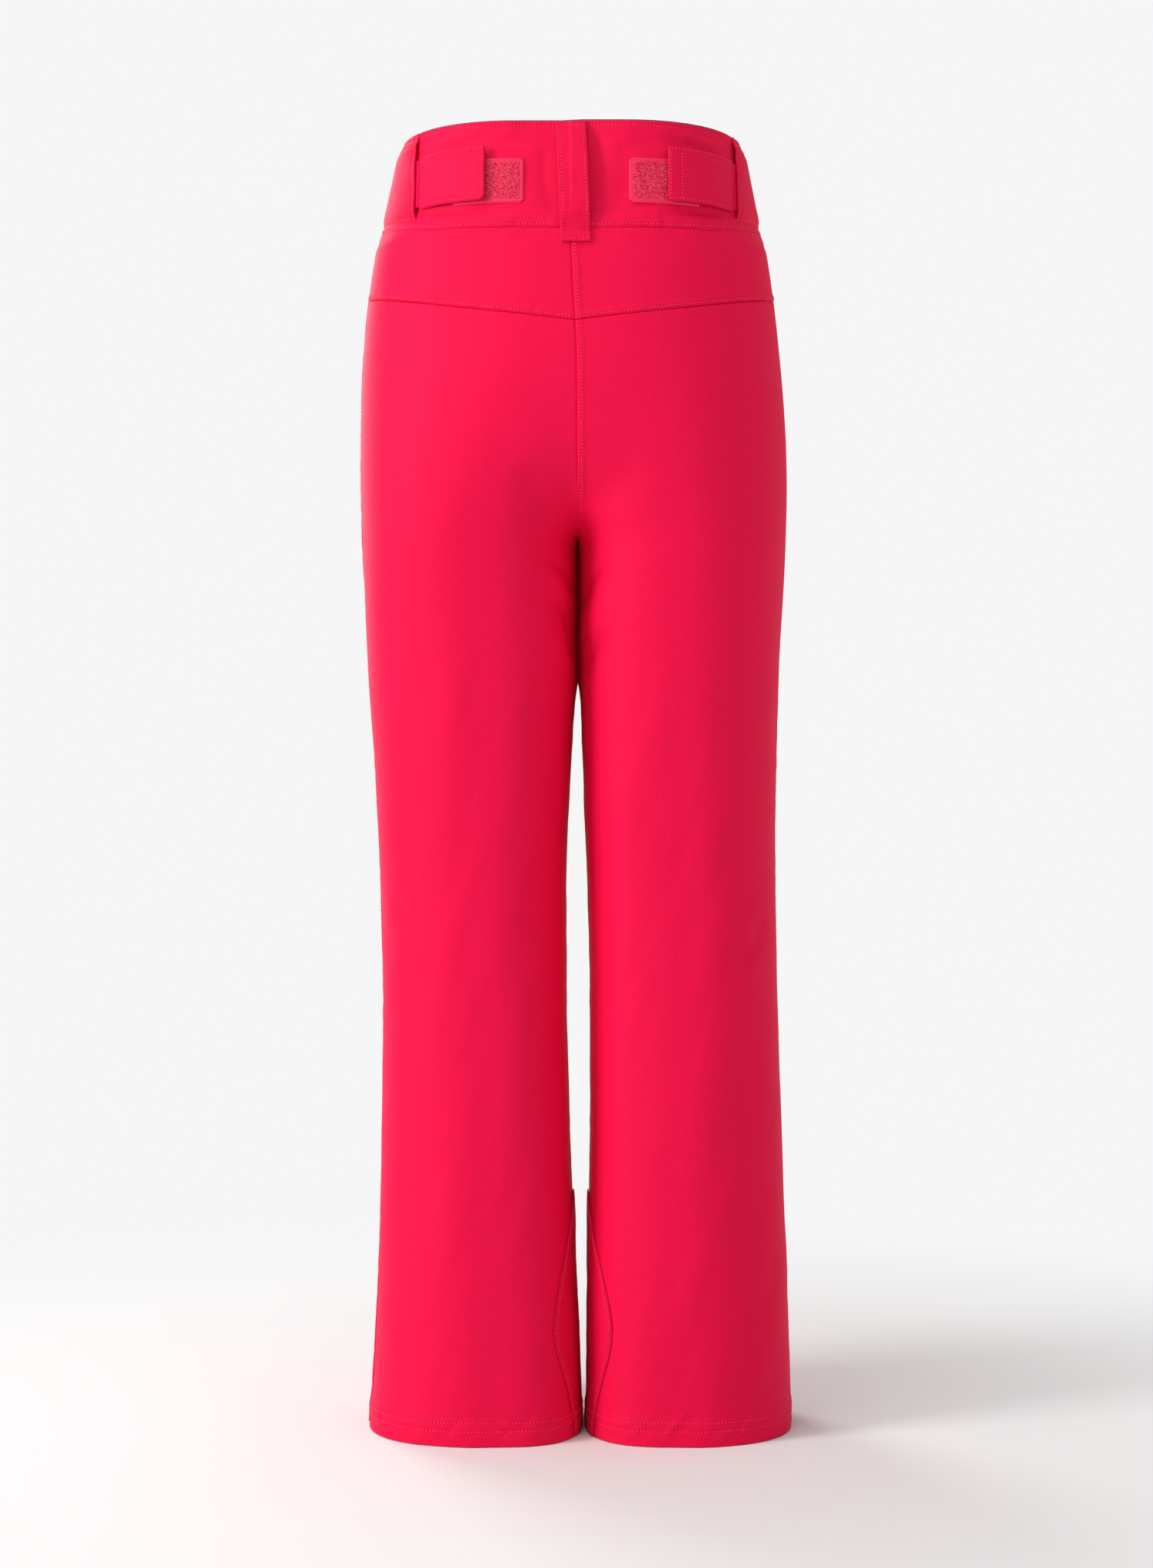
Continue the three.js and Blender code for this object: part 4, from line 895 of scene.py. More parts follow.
def stitches(body, C, N, pitch=2.8, lift=0.14, r=0.33, jitter=0.04):
    """Topstitch along a dense polyline C lying on the cloth, N its normals."""
    C, N = np.asarray(C, float), np.asarray(N, float)
    seg = np.linalg.norm(np.diff(C, axis=0), axis=1)
    s = np.concatenate([[0], np.cumsum(seg)])
    n = int((s[-1] - 0.6) // pitch)
    if n < 1:
        return
    starts = (np.arange(n) + 0.08) * pitch + rng.normal(0, jitter, n)
    q = np.linspace(0, 1, 5)
    u = starts[:, None] + q[None] * pitch * 0.8
    pos = np.stack([np.interp(u, s, C[:, k]) for k in range(3)], -1)
    nor = unit(np.stack([np.interp(u, s, N[:, k]) for k in range(3)], -1))
    tan = unit(np.gradient(pos, axis=1))
    bi = unit(np.cross(tan, nor))
    h = lift + 0.0 * u
    arch = np.array([-0.42, 0.02, 0.14, 0.02, -0.42])
    ctr = pos + nor * (h + arch[None])[..., None]
    ang = np.arange(5) / 5 * 2 * math.pi
    rad = np.array([0.6, 1, 1, 1, 0.6]) * r
    ringp = ctr[:, :, None] + rad[None, :, None, None] * (np.cos(ang)[None, None, :, None] * bi[:, :, None] + np.sin(ang)[None, None, :, None] * nor[:, :, None])
    # dark discs between the stitches: painted shade in the needle dimples, not a real hole in the cloth
    hc = starts + pitch * 0.9
    hp = np.stack([np.interp(hc, s, C[:, k]) for k in range(3)], -1)
    hn = unit(np.stack([np.interp(hc, s, N[:, k]) for k in range(3)], -1))
    ht = unit(np.stack([np.interp(hc + 0.3, s, C[:, k]) for k in range(3)], -1) - np.stack([np.interp(hc - 0.3, s, C[:, k]) for k in range(3)], -1))
    hb = np.cross(ht, hn)
    a6 = np.arange(6) / 6 * 2 * math.pi
    disc = (hp + hn * (lift + 0.03))[:, None] + 0.45 * np.cos(a6)[None, :, None] * ht[:, None] + 0.42 * np.sin(a6)[None, :, None] * hb[:, None]
    f6 = np.array([[0, 1, 2, 3], [0, 3, 4, 5]])
    HOLE_SHADE_DISCS.setdefault(body, []).append((disc.reshape(-1, 3), ((np.arange(n) * 6)[:, None, None] + f6[None]).reshape(-1, 4)))
    v = ringp.reshape(-1, 3)
    base = (np.arange(n) * 25)[:, None]
    fa = []
    for j in range(4):
        for k in range(5):
            a, b = j * 5 + k, j * 5 + (k + 1) % 5
            fa.append([a, b, b + 5, a + 5])
    fa = np.array(fa)
    f = (base[:, None] + fa[None]).reshape(-1, 4)
    STITCH.setdefault(body, []).append((v, f))


def finish_stitches():
    # thread meshes, and the dark discs of painted shade at the needle holes
    for table, label, mat in ((STITCH, "topstitching", M_THREAD_HIGHLIGHT), (HOLE_SHADE_DISCS, "needle_holes", M_HOLE_SHADE)):
        for body, parts in table.items():
            vs, fs, off = [], [], 0
            for v, f in parts:
                vs.append(v); fs.append(f + off); off += len(v)
            ob = mesh_from(f"{label}_{body}", np.concatenate(vs), np.concatenate(fs), mat)
            put(ob, body)


def stitch_on(side, back, E, Z, height, body=ROOT, **kw):
    P, N = place(side, back, E, Z), normals(side, back, E, Z)
    o = height(P, E, Z)
    stitches(body, P + N * o[..., None], N, **kw)


# yoke rows, waist seam rows, centre back, hems
for side in (1, -1):
    kap = np.linspace(0.004, 0.996, 420)
    t = 0.5 * (1 - kap)
    Z = F["Z_YOKE"](t) + 2.4
    L = L_of(side, True, Z)
    stitch_on(side, True, kap * L, Z, lambda P, E, Z: yoke_relief(side, True, E, Z, P, t, L))
    Z = np.linspace(871, 941, 200)
    tt = np.full(200, 0.0)
    if side < 0:
        L = L_of(side, True, Z)
        E = L - 3.3
        stitch_on(side, True, E, Z, lambda P, E, Z: yoke_relief(side, True, E, Z, P, 0.5 * (1 - E / L), L))
        Z = np.linspace(722, 869, 300)
        L = L_of(side, True, Z)
        stitch_on(side, True, L - 3.3, Z, lambda P, E, Z: leg_relief(side, True, E, Z, P))
    for back in (True, False):
        for f0, f1 in ((0.004, 0.998),) if back else ((0.004, 0.99 if side > 0 else FRONT_R_END - 0.01),):
            kap = np.linspace(f0, f1, 420)
            t = 0.5 * (1 - kap) if back else 0.5 + 0.5 * kap
            for Z in (F["Z_WAIST"](t) + 3.1, F["Z_TOP"](t) - 4.0):
                L = L_of(side, back, Z)
                stitch_on(side, back, kap * L, Z, lambda P, E, Z: off_back(P, Z, t, side, back))
        for zh in (11.5, 17.9):
            Z = np.full(560, zh)
            L = L_of(side, back, Z)
            E = np.linspace(0.5, L[0] - 0.5, 560)
            stitch_on(side, back, E, Z, lambda P, E, Z: leg_relief(side, back, E, Z, P))
        if not back:
            Z = np.linspace(4, 950, 1400)
            stitch_on(side, False, np.full(1400, 3.2), Z, lambda P, E, Z: leg_relief(side, False, E, Z, P))


# ---------------------------------------------------------------- adjuster: loop patch, tab, tunnel
TAB_END, TAB_ROOT, TUN_X = 70.0, 123.8, 127.0
for side, sd in ((1, "left"), (-1, "right")):
    body = f"tab_{sd}_body"
    # loop patch, welded rim and pile
    nu, nv = int(56 * Q), int(40 * Q)
    U, V = np.meshgrid(np.linspace(0, 1, nu), np.linspace(0, 1, nv))
    X = lerp(40.5, 97.0, U)
    Z = lerp(963.0, 999.5, V)
    c = np.clip(1 - (X - 40.5) / 3.2, 0, 1)  # cut corners at the free end
    Zc = np.where(V > 0.5, np.minimum(Z, 999.5 - 3.2 * c), np.maximum(Z, 963.0 + 3.2 * c))
    E = ez_from_x(side, True, side * X, Zc)
    P, N = place(side, True, E, Zc), normals(side, True, E, Zc)
    rim = round_edge(U, V, 56.5, 36.5, 1.0)
    din = np.minimum(np.minimum(U * 56.5, 99.0), np.minimum(V, 1 - V) * 36.5)
    inner = sm((din - 2.6) / 1.2)
    o = -3.2 + 1.15 * rim - 0.35 * gauss(din - 3.0, 0.8) + inner * 0.25 * hash_noise(X * 1.3, Zc * 1.3, 5)
    ob = slab_obj(f"loop_tape_{sd}", P + N * o[..., None], P + N * -3.3, M_TAPE, flip=flipped(side, True))
    put(ob, replaces=[f"loop_patch_{sd}"])
    # pile: small upright loops
    m = int(2600 * Q)
    px = rng.uniform(44.2, 72, m)
    pz = rng.uniform(966.8, 995.8, m)
    e = ez_from_x(side, True, side * px, pz)
    p0, n0 = place(side, True, e, pz), normals(side, True, e, pz)
    th = rng.uniform(0, math.pi, m)
    up = np.array([0.0, 0.0, 1.0])
    tx = unit(np.cross(up[None], n0))
    tz = np.cross(n0, tx)
    dr = tx * np.cos(th)[:, None] + tz * np.sin(th)[:, None]
    si = np.cross(n0, dr)
    hgt = rng.uniform(0.25, 0.55, m)
    wid = rng.uniform(0.3, 0.62, m)
    lean = rng.normal(0, 0.25, m)
    a = np.linspace(0.0, math.pi, 6)
    cx, cy = np.cos(a), np.sin(a)
    ctr = p0[:, None] + n0[:, None] * (-2.2 + hgt[:, None] * cy[None])[..., None] + dr[:, None] * (wid[:, None] * cx[None])[..., None] + si[:, None] * (lean[:, None] * cy[None])[..., None]
    tan = unit(np.gradient(ctr, axis=1))
    b1 = unit(np.cross(tan, np.broadcast_to(si[:, None], tan.shape)))
    b2 = np.cross(tan, b1)
    for which, mat in ((0, M_PILE), (1, M_PILE2)):
        sel = (rng.random(m) < 0.24) == bool(which)
        k3 = np.arange(3) / 3 * 2 * math.pi
        rr = 0.085 if which == 0 else 0.1
        ringp = ctr[sel][:, :, None] + rr * (np.cos(k3)[None, None, :, None] * b1[sel][:, :, None] + np.sin(k3)[None, None, :, None] * b2[sel][:, :, None])
        fa = np.array([[j * 3 + k, j * 3 + (k + 1) % 3, (j + 1) * 3 + (k + 1) % 3, (j + 1) * 3 + k] for j in range(5) for k in range(3)])
        nn = int(sel.sum())
        f = ((np.arange(nn) * 18)[:, None, None] + fa[None]).reshape(-1, 4)
        ob = mesh_from(f"loop_pile_{'light' if which else 'dark'}_{sd}", ringp.reshape(-1, 3), f, mat)
        put(ob)
    # tab
    nu, nv = int(84 * Q), int(70 * Q)
    U, V = np.meshgrid(cols(nu - 1, 3, 4, 54), cols(nv - 1, 3, 4, 44))
    z0, z1 = 964.0, 1007.5
    rc = 5.5
    dz = (V * (z1 - z0))
    xe = TAB_END + np.where(dz < rc, rc - np.sqrt(np.clip(rc * rc - (rc - dz) ** 2, 0, None)), 0) + 0.5 * np.sin(V * 2.2)
    X = lerp(xe, TAB_ROOT, U)
    Z = z0 + dz + (1 - U) * 0.6 * (V - 0.3)
    E = ez_from_x(side, True, side * X, Z)
    P, N = place(side, True, E, Z), normals(side, True, E, Z)
    base = 0.0 + (BAND_OUT + 0.7) * sm((X - 103) / 21.0)
    lift = 1.5 * (1 - U) ** 3 * (0.45 + 0.55 * (1 - V)) + 0.25 * np.sin(U * 7 + side) * (1 - U)
    ww, ll = 54.0, 43.5
    edge = round_edge(np.clip(U, 0, 0.5), V, ww, ll, 1.1)
    din = np.minimum(U * ww, np.minimum(V, 1 - V) * ll)
    fat = 2.0 * edge
    dv = np.abs(X - (TAB_END + 10.4))
    rel = -0.22 * gauss(din - 2.0, 0.7) - 0.3 * gauss(dv, 0.8) + 0.18 * fbm(X / 8, Z / 9, 71 + side, 2)
    wr = 0.5 * fold(X, Z, [(TAB_ROOT + 2, 1003), (TAB_ROOT - 14, 998), (TAB_ROOT - 26, 997)], 3.0, 1.4) + 0.4 * fold(X, Z, [(TAB_ROOT + 2, 968), (TAB_ROOT - 14, 973), (TAB_ROOT - 30, 974)], 3.0, 1.2)
    Po = P + N * (base + lift + fat + rel + wr)[..., None]
    Pi = P + N * (base + lift + 0.05 + 0.4 * (1 - edge))[..., None]
    ob = slab_obj(f"cloth_tab_{sd}", Po, Pi, M_TRIM, flip=not flipped(side, True))
    put(ob, body, replaces=[f"adjuster_tab_{sd}"])
    declare_sheet(Po)

    def tab_line(us, vs):
        j = np.clip((np.interp(us, U[0], np.arange(nu))), 0, nu - 1.001)
        i = np.clip((np.interp(vs, V[:, 0], np.arange(nv))), 0, nv - 1.001)
        j0, i0 = j.astype(int), i.astype(int)
        fj, fi = (j - j0)[:, None], (i - i0)[:, None]
        g = lambda A: lerp(lerp(A[i0, j0], A[i0, j0 + 1], fj), lerp(A[i0 + 1, j0], A[i0 + 1, j0 + 1], fj), fi)
        return g(Po), unit(g(N))

    q = np.linspace(0, 1, 160)
    e1, e2 = 2.0 / ww, 2.0 / ll
    for us, vs in ((lerp(e1, 0.97, q), np.full(160, e2)), (lerp(e1, 0.97, q), np.full(160, 1 - e2)), (np.full(160, e1), lerp(e2 * 2.2, 1 - e2, q)), (np.full(160, 10.4 / ww), lerp(e2, 1 - e2, q))):
        c_, n_ = tab_line(us, vs)
        stitches(body, c_, n_, lift=0.05)
    # side tunnel
    segs = [(side, True, float(1 - 0), 0.0, 0)]
    nu = int(60 * Q)
    rows = cols(int(50 * Q), 2.2, 8, 82)
    t_front = 0.62
    kb = None
    zc = 985.0
    Lb = length(side, True, np.array([zc]))[0]
    kt = ez_from_x(side, True, np.array([side * TUN_X]), np.array([zc]))[0] / Lb
    parts_P, parts_N, parts_O = [], [], []
    for back, k0, k1 in ((True, kt, 0.0), (False, 0.0, 2 * (t_front - 0.5))):
        kk = np.linspace(k0, k1, nu)
        if not back:
            kk = kk[1:]
        t = 0.5 * (1 - kk) if back else 0.5 + 0.5 * kk
        za, zb = F["Z_WAIST"](t) + 0.7, F["Z_TOP"](t) - 0.7
        Z = lerp(za[None], zb[None], rows[:, None])
        L = L_of(side, back, Z)
        E = kk[None] * L
        if back:  # the mouth stays at one x
            Em = ez_from_x(side, True, side * np.full(len(rows), TUN_X), Z[:, 0])
            E = Em[:, None] * (kk[None] / kt)
        P, N = place(side, back, E, Z), normals(side, back, E, Z)
        dz = np.minimum(Z - za[None], zb[None] - Z)
        o = lerp(-3.1, 0.25, sm((dz - 1.0) / 13))
        o = o - 0.35 * gauss(dz - 7.5, 0.9) - 0.3 * gauss(dz - 2.6, 0.8) + 0.22 * fbm(E / 24.0, Z / 20.0, 81, 2)
        if back:
            dm = Em[:, None] - E
            o = o - 0.45 * gauss(dm - 6.0, 1.0) + 0.5 * gauss(dm - 1.2, 1.6)
            o = o - 0.8 * gauss(dm - 1, 7) * gauss(Z - 1012, 6) - 0.5 * gauss(dm - 1, 7) * gauss(Z - 958, 5)
        parts_P.append(P); parts_N.append(N); parts_O.append(o)
        for zz, off in ((7.5, 0), (2.6, 0)):
            for sgn in (0, 1):
                zl = za + zz if sgn == 0 else zb - zz
                El = np.interp(0.5, [0, 1], [0, 0]) + kk * L_of(side, back, zl) if not back else ez_from_x(side, True, np.full(1, side * TUN_X), zl[:1]) * kk / kt
                Pl, Nl = place(side, back, El, zl), normals(side, back, El, zl)
                ol = lerp(-3.1, 0.25, sm((zz - 1.0) / 13)) - 0.2
                stitches(ROOT, Pl + Nl * ol, Nl)
        if back:
            zl = np.linspace(za[0] + 3, zb[0] - 3, 200)
            El = ez_from_x(side, True, np.full(200, side * TUN_X), zl) - 6.0
            Pl, Nl = place(side, True, El, zl), normals(side, True, El, zl)
            dzl = np.minimum(zl - za[0], zb[0] - zl)
            ol = lerp(-3.1, 0.25, sm((dzl - 1.0) / 13)) - 0.3
            stitches(ROOT, Pl + Nl * ol[:, None], Nl)
    P, N, o = np.concatenate(parts_P, 1), np.concatenate(parts_N, 1), np.concatenate(parts_O, 1)
    Po = P + N * o[..., None]
    Pi = P + N * np.minimum(o - 1.0, np.maximum(o - 1.2, -3.35))[..., None]
    ob = slab_obj(f"cloth_tunnel_{sd}", Po, Pi, M_SHELL, flip=False)
    put(ob, replaces=[f"adjuster_tunnel_{sd}"])
    declare_sheet(P)


# ---------------------------------------------------------------- belt loops
def belt_loop(name, node, x_top, x_bot, back):
    t0 = 0.0 if back else 0.85
    z0 = float(F["Z_WAIST"](t0)) - 11
    z1 = 1028.9 if back else float(F["Z_TOP"](t0)) - 0.6
    zs = [z0, z0 + 9]
    zs += [lerp(zs[1], z1, k) for k in (0.2, 0.5, 0.85, 1)]
    of = pchip(list(map(list, zip(zs, [0.5, 0.4, 3.4, 4.4, 0.2, -2.9]))))
    nu, nv = int(34 * Q) + 2, int(110 * Q)
    U, V = np.meshgrid(cols(nu - 1, 3, 3, 23.5), cols(nv - 1, 2, 4, 98))
    Z = lerp(z0, z1, V)
    X = lerp(x_bot, x_top, V) + (U - 0.5) * 23.5
    P, N = split_x(back, X, Z)
    ed = round_edge(U, V, 23.5, z1 - z0, 1.0)
    du = np.minimum(U, 1 - U) * 23.5
    dv = np.minimum(V, 1 - V) * (z1 - z0)
    o = of(Z) + 0.3 * fbm(X / 9, Z / 16, 91, 2) - 0.22 * gauss(du - 2.6, 0.8) - 0.4 * gauss((V * (z1 - z0)) - 2.4, 0.8) * 0.7
    o = o - 0.5 * gauss(Z - (z0 + 9), 2.5) * (0.6 + 0.4 * np.sin(U * 6))
    Po = P + N * (o + 1.6 * ed)[..., None]
    Pi = P + N * (o + 0.0)[..., None]
    ob = slab_obj(name, Po, Pi, M_TRIM, flip=False)
    put(ob, replaces=[node])
    declare_sheet(Po)
    q = np.linspace(0, 1, 240)

    def line(us, vs):
        zz = lerp(z0, z1, vs)
        xx = lerp(x_bot, x_top, vs) + (us - 0.5) * 23.5
        Pl, Nl = split_x(back, xx, zz)
        return Pl + Nl * (of(zz) + 1.35)[..., None], Nl

    for us, vs in ((np.full(240, 2.6 / 23.5), lerp(0.03, 0.985, q)), (np.full(240, 1 - 2.6 / 23.5), lerp(0.03, 0.985, q)), (lerp(0.1, 0.9, q), np.full(240, 2.4 / (z1 - z0))), (lerp(0.1, 0.9, q), np.full(240, 1 - 4.5 / (z1 - z0)))):
        c_, n_ = line(us, vs)
        stitches(ROOT, c_, n_, lift=0.1)


belt_loop("cloth_loop_back", "belt_loop_back", 4.3, 0.4, True)
belt_loop("cloth_loop_front_left", "belt_loop_front_left", 82, 82, False)
belt_loop("cloth_loop_front_right", "belt_loop_front_right", -82, -82, False)


# ---------------------------------------------------------------- scuff guards
def gw(z):
    return 75 * np.maximum(0.02, np.sin(np.pi * np.clip((187 - z) / 262, 0, 0.5))) ** 0.55 * lerp(0.68, 1, sm(z / 95))


def broad(side, back, x, z):
    h = back_fields(side, x, z) if back else 0.9 * fbm(x / 46.0, z / 420.0, 5, 2) * sm((690 - z) / 140) + 0.45 * fbm(x / 60.0, z / 90.0, 12, 2)
    return h + 0.5 * (1 - sm((z - 19) / 3.0))


def guard_at(side, u, z):
    """Point, normal and broad height at u (-1 back edge, 0 inseam, 1 front edge) and z."""
    w = gw(z)
    L1, L2 = L_of(side, True, z), L_of(side, False, z)
    d = np.abs(u) * w
    Pb, Pf = place(side, True, L1 - d, z), place(side, False, L2 - d, z)
    Nb, Nf = normals(side, True, L1 - d, z), normals(side, False, L2 - d, z)
    k = sm(0.5 + u * w / 6.0)
    P = np.where((u < 0)[..., None], Pb, Pf)
    N = unit(lerp(Nb, Nf, k[..., None]))
    h = lerp(broad(side, True, Pb[..., 0], z), broad(side, False, Pf[..., 0], z), k)
    return P, N, h


for side, sd in ((1, "left"), (-1, "right")):
    nv, nu = int(96 * Q), int(90 * Q)
    U, V = np.meshgrid(cols(nu - 1, 3, 5, 150) * 2 - 1, cols(nv - 1, 3, 4, 186))
    Z = lerp(0.6, 187, V)
    P, N, h = guard_at(side, U, Z)
    W = gw(Z)
    ds = (1 - np.abs(U)) * W
    d = np.minimum(ds, np.minimum(Z - 0.6, 187 - Z))
    ed = np.sqrt(1 - (1 - np.clip(d / 1.1, 0, 1)) ** 2)
    o = h + 0.75 + 0.95 * ed - 0.3 * gauss(d - 2.6, 0.8) + 0.25 * fbm(U * W / 12, Z / 16, 61 + side, 2)
    for r in (11.5, 17.9):
        o = o - 0.3 * gauss(Z - r, 0.9)
    ob = slab_obj(f"cloth_scuff_guard_{sd}", P + N * o[..., None], P + N * (h + 0.45)[..., None], M_TRIM)
    put(ob, replaces=[f"scuff_guard_{sd}"])
    declare_sheet(P)
    q = np.linspace(0, 1, 400)
    zl = lerp(3, 184.2, q)
    for sg in (-1, 1):
        u = sg * np.clip(1 - 2.6 / gw(zl), 0, 1)
        Pl, Nl, hl = guard_at(side, u, zl)
        stitches(ROOT, Pl + Nl * (hl + 1.55)[:, None], Nl)
        for r in (11.5, 17.9):
            zr = np.full(160, r)
            ur = sg * np.linspace(0.01, 0.97, 160)
            Pl2, Nl2, hl2 = guard_at(side, ur, zr)
            stitches(ROOT, Pl2 + Nl2 * (hl2 + 1.5)[:, None], Nl2)


# ---------------------------------------------------------------- fly cover, waistband overlap
def smoother(x):
    return sm(x)


def cover_o(x):
    return np.where(x < -14, lerp(-1.0, 3.3, sm((x + 37.6) / 9)), lerp(3.3, 0.7, sm((x + 14) / 16)))


def over_o(x):
    return lerp(-4.9, 0.3, sm((x + 37.6) / 10))


def fly_piece(name, node, za, zb, off, thick, seed, corner=None):
    nu, nv = int(64 * Q), int(120 * Q)
    U, V = np.meshgrid(cols(nu - 1, 3, 4, 69), cols(nv - 1, 3, 4, 120))
    X = lerp(-37.2, 32.0, U)
    zt = F["Z_TOP"](np.full(1, 0.97))[0] if zb is None else zb
    Z = lerp(za, zt, V)
    if corner:
        c = np.clip((X - (32 - corner)) / corner, 0, 1)
        lo = za + corner * (1 - np.sqrt(1 - c * c)) * 0.9
        Z = lerp(lo, zt, V)
    P, N = split_x(False, X, Z)
    d = np.minimum((1 - U) * 69.2, np.minimum(Z - lo if corner else V * (zt - za), (1 - V) * (zt - za)))
    ed = np.sqrt(1 - (1 - np.clip(d / 1.1, 0, 1)) ** 2)
    rel = 0.3 * fbm(X / 14, Z / 20, seed, 2) - 0.35 * gauss(d - 3.2, 0.8)
    o = off(X)
    Po = P + N * (o + 0.25 + (thick - 0.1) * ed + rel * sm((X + 36) / 6))[..., None]
    Pi = P + N * (o + 0.1 * sm((X + 36) / 6))[..., None]
    ob = slab_obj(name, Po, Pi, M_TRIM)
    put(ob, "fly_flap", replaces=[node])
    declare_sheet(P)

    def line(xs, zs):
        Pl, Nl = split_x(False, xs, zs)
        stitches("fly_flap", Pl + Nl * (off(xs) + thick + 0.1)[:, None], Nl)

    q = np.linspace(0, 1, 220)
    line(np.full(220, 28.8), lerp(za + (corner or 3.2), zt - 3.2, q))
    line(lerp(-26, 28.8 - (corner or 0) * 0.6, q), np.full(220, za + 3.2))
    line(lerp(-26, 28.8, q), np.full(220, zt - 3.2))


fly_piece("cloth_fly_cover", "fly_cover", 773.0, 952.4, cover_o, 1.3, 51, 9)
fly_piece("cloth_waistband_overlap", "waistband_overlap", 953.2, None, over_o, 1.3, 52)


# ---------------------------------------------------------------- pocket welts and zip coils
def pocket_map(side, lx, lz):
    O, X, Y, Zv, LP = POCKET[side]
    lx, lz = (np.asarray(a, float) for a in np.broadcast_arrays(lx, lz))
    p0 = O + lx[..., None] * X + lz[..., None] * Zv
    z = p0[..., 2].copy()
    es = np.linspace(0, 150, 76)
    cand = place(side, False, np.broadcast_to(es, z.shape + (76,)), np.broadcast_to(z[..., None], z.shape + (76,)))
    dd = np.linalg.norm(cand - p0[..., None, :], axis=-1)
    e = es[dd.argmin(-1)]
    for _ in range(7):
        P = place(side, False, e, z)
        Pe = (place(side, False, e + 0.4, z) - P) / 0.4
        Pz = (place(side, False, e, z + 0.4) - P) / 0.4
        r1, r2 = ((P - p0) @ X), ((P - p0) @ Zv)
        a, b, c, d = Pe @ X, Pz @ X, Pe @ Zv, Pz @ Zv
        det = a * d - b * c
        e = e - (d * r1 - b * r2) / det
        z = z - (a * r2 - c * r1) / det
    return e, z, place(side, False, e, z), normals(side, False, e, z)


def coil(name, O, X, Y, Zv, L, body, n_skip=0.0):
    n = int((L - 4) / 1.35)
    th, ph = np.meshgrid(np.linspace(0, 2 * math.pi, 9)[:-1], np.linspace(0, math.pi, 5))
    sph = np.stack([np.cos(ph), np.sin(ph) * np.cos(th), np.sin(ph) * np.sin(th)], -1).reshape(-1, 3)
    f = []
    for j in range(4):
        for k in range(8):
            f.append([j * 8 + k, j * 8 + (k + 1) % 8, (j + 1) * 8 + (k + 1) % 8, (j + 1) * 8 + k])
    f = np.array(f)
    vs, fs = [], []
    for i in range(n):
        for sg in (-1, 1):
            lz = 2 + (i + (0.5 if sg > 0 else 0)) * 1.35
            c = O + X * (sg * 0.95) + Y * -2.75 + Zv * lz
            v = c + sph[:, :1] * 1.5 * (X + sg * 0.12 * Zv) + sph[:, 1:2] * 0.55 * Y + sph[:, 2:3] * 0.42 * Zv
            fs.append(f + len(vs) * len(sph))
            vs.append(v)
    ob = mesh_from(name, np.concatenate(vs), np.concatenate(fs), M_COIL)
    put(ob, body)


for side, sd in ((1, "left"), (-1, "right")):
    O, X, Y, Zv, LP = POCKET[side]
    n = int(260 * Q)
    per = []
    half, lo, hi = 5.0, -6.6, LP + 2.1
    r = 4.2
    q = np.linspace(0, 2 * math.pi, n, endpoint=False)
    # a rounded slot outline, evenly stepped
    hz, cz = (hi - lo) / 2, (hi + lo) / 2
    m_ = 4000
    ang = np.linspace(0, 2 * math.pi, m_, endpoint=False)
    bx = half * np.sign(np.cos(ang)) * np.abs(np.cos(ang)) ** 0.12
    bz = hz * np.sign(np.sin(ang)) * np.abs(np.sin(ang)) ** 0.12
    s_ = np.concatenate([[0], np.cumsum(np.hypot(np.diff(bx), np.diff(bz)))])
    st = np.linspace(0, s_[-1], n, endpoint=False)
    bx, bz = np.interp(st, s_, bx), np.interp(st, s_, bz)
    prof = [(-0.75, 0.0), (-0.3, 0.35), (0.6, 0.55), (2.2, 0.5), (3.6, 0.42), (4.6, 0.3), (4.9, -0.1)]
    rows_ = []
    for gx, gh in prof:
        kx, kz = (half + gx) / half, (hz + gx) / hz
        e, z, P, N = pocket_map(side, bx * kx, cz + bz * kz)
        m = pocket_calm(side, P)
        h = broad(side, False, P[..., 0], z) * (1 - m) - 0.6 * m
        rows_.append(P + N * (h + gh)[..., None])
    rows_.append(rows_[-1] + (rows_[0] - rows_[-1]) * 0.0 - np.array([0, 0, 0]))
    e, z, P, N = pocket_map(side, bx * (half + 4.7) / half, cz + bz * (hz + 4.7) / hz)
    rows_[-1] = P + N * -0.9
    e, z, P, N = pocket_map(side, bx * (half - 0.7) / half, cz + bz * (hz - 0.7) / hz)
    rows_.append(P + N * -1.2)
    G = np.array(rows_)
    G = np.concatenate([G, G[:1]], 0)
    nv, nu = G.shape[:2]
    f = grid_faces(nv - 1, nu, wrap=True)
    last = np.stack([np.arange(nu) + (nv - 2) * nu, (np.arange(nu) + 1) % nu + (nv - 2) * nu, (np.arange(nu) + 1) % nu, np.arange(nu)], 1)
    f = np.concatenate([f, last])
    v = G[:-1].reshape(-1, 3)
    c_ = v - v.mean(0)
    vol = sum((c_[f[:, 0]] * np.cross(c_[f[:, i]], c_[f[:, i + 1]])).sum() for i in (1, 2))
    ob = mesh_from(f"pocket_welt_{sd}", v, f if vol > 0 else f[:, ::-1], M_TRIM)
    put(ob)
    e, z, P, N = pocket_map(side, bx * (half + 3.0) / half, cz + bz * (hz + 3.0) / hz)
    m = pocket_calm(side, P)
    h = broad(side, False, P[..., 0], z) * (1 - m) - 0.6 * m + 0.22
    C = P + N * h[..., None]
    stitches(ROOT, np.concatenate([C, C[:1]]), np.concatenate([N, N[:1]]))
    coil(f"pocket_coil_{sd}", O, X, Y, Zv, LP, ROOT)
FZ = np.array([0, 0.042364, 0.999102])
FO = np.array([-20, -99.67, 941.93]) - FZ * (150.1 - 8)
coil("fly_coil", FO, np.array([-1.0, 0, 0]), np.array([0, -0.999102, 0.042364]), FZ, 150.1, ROOT)


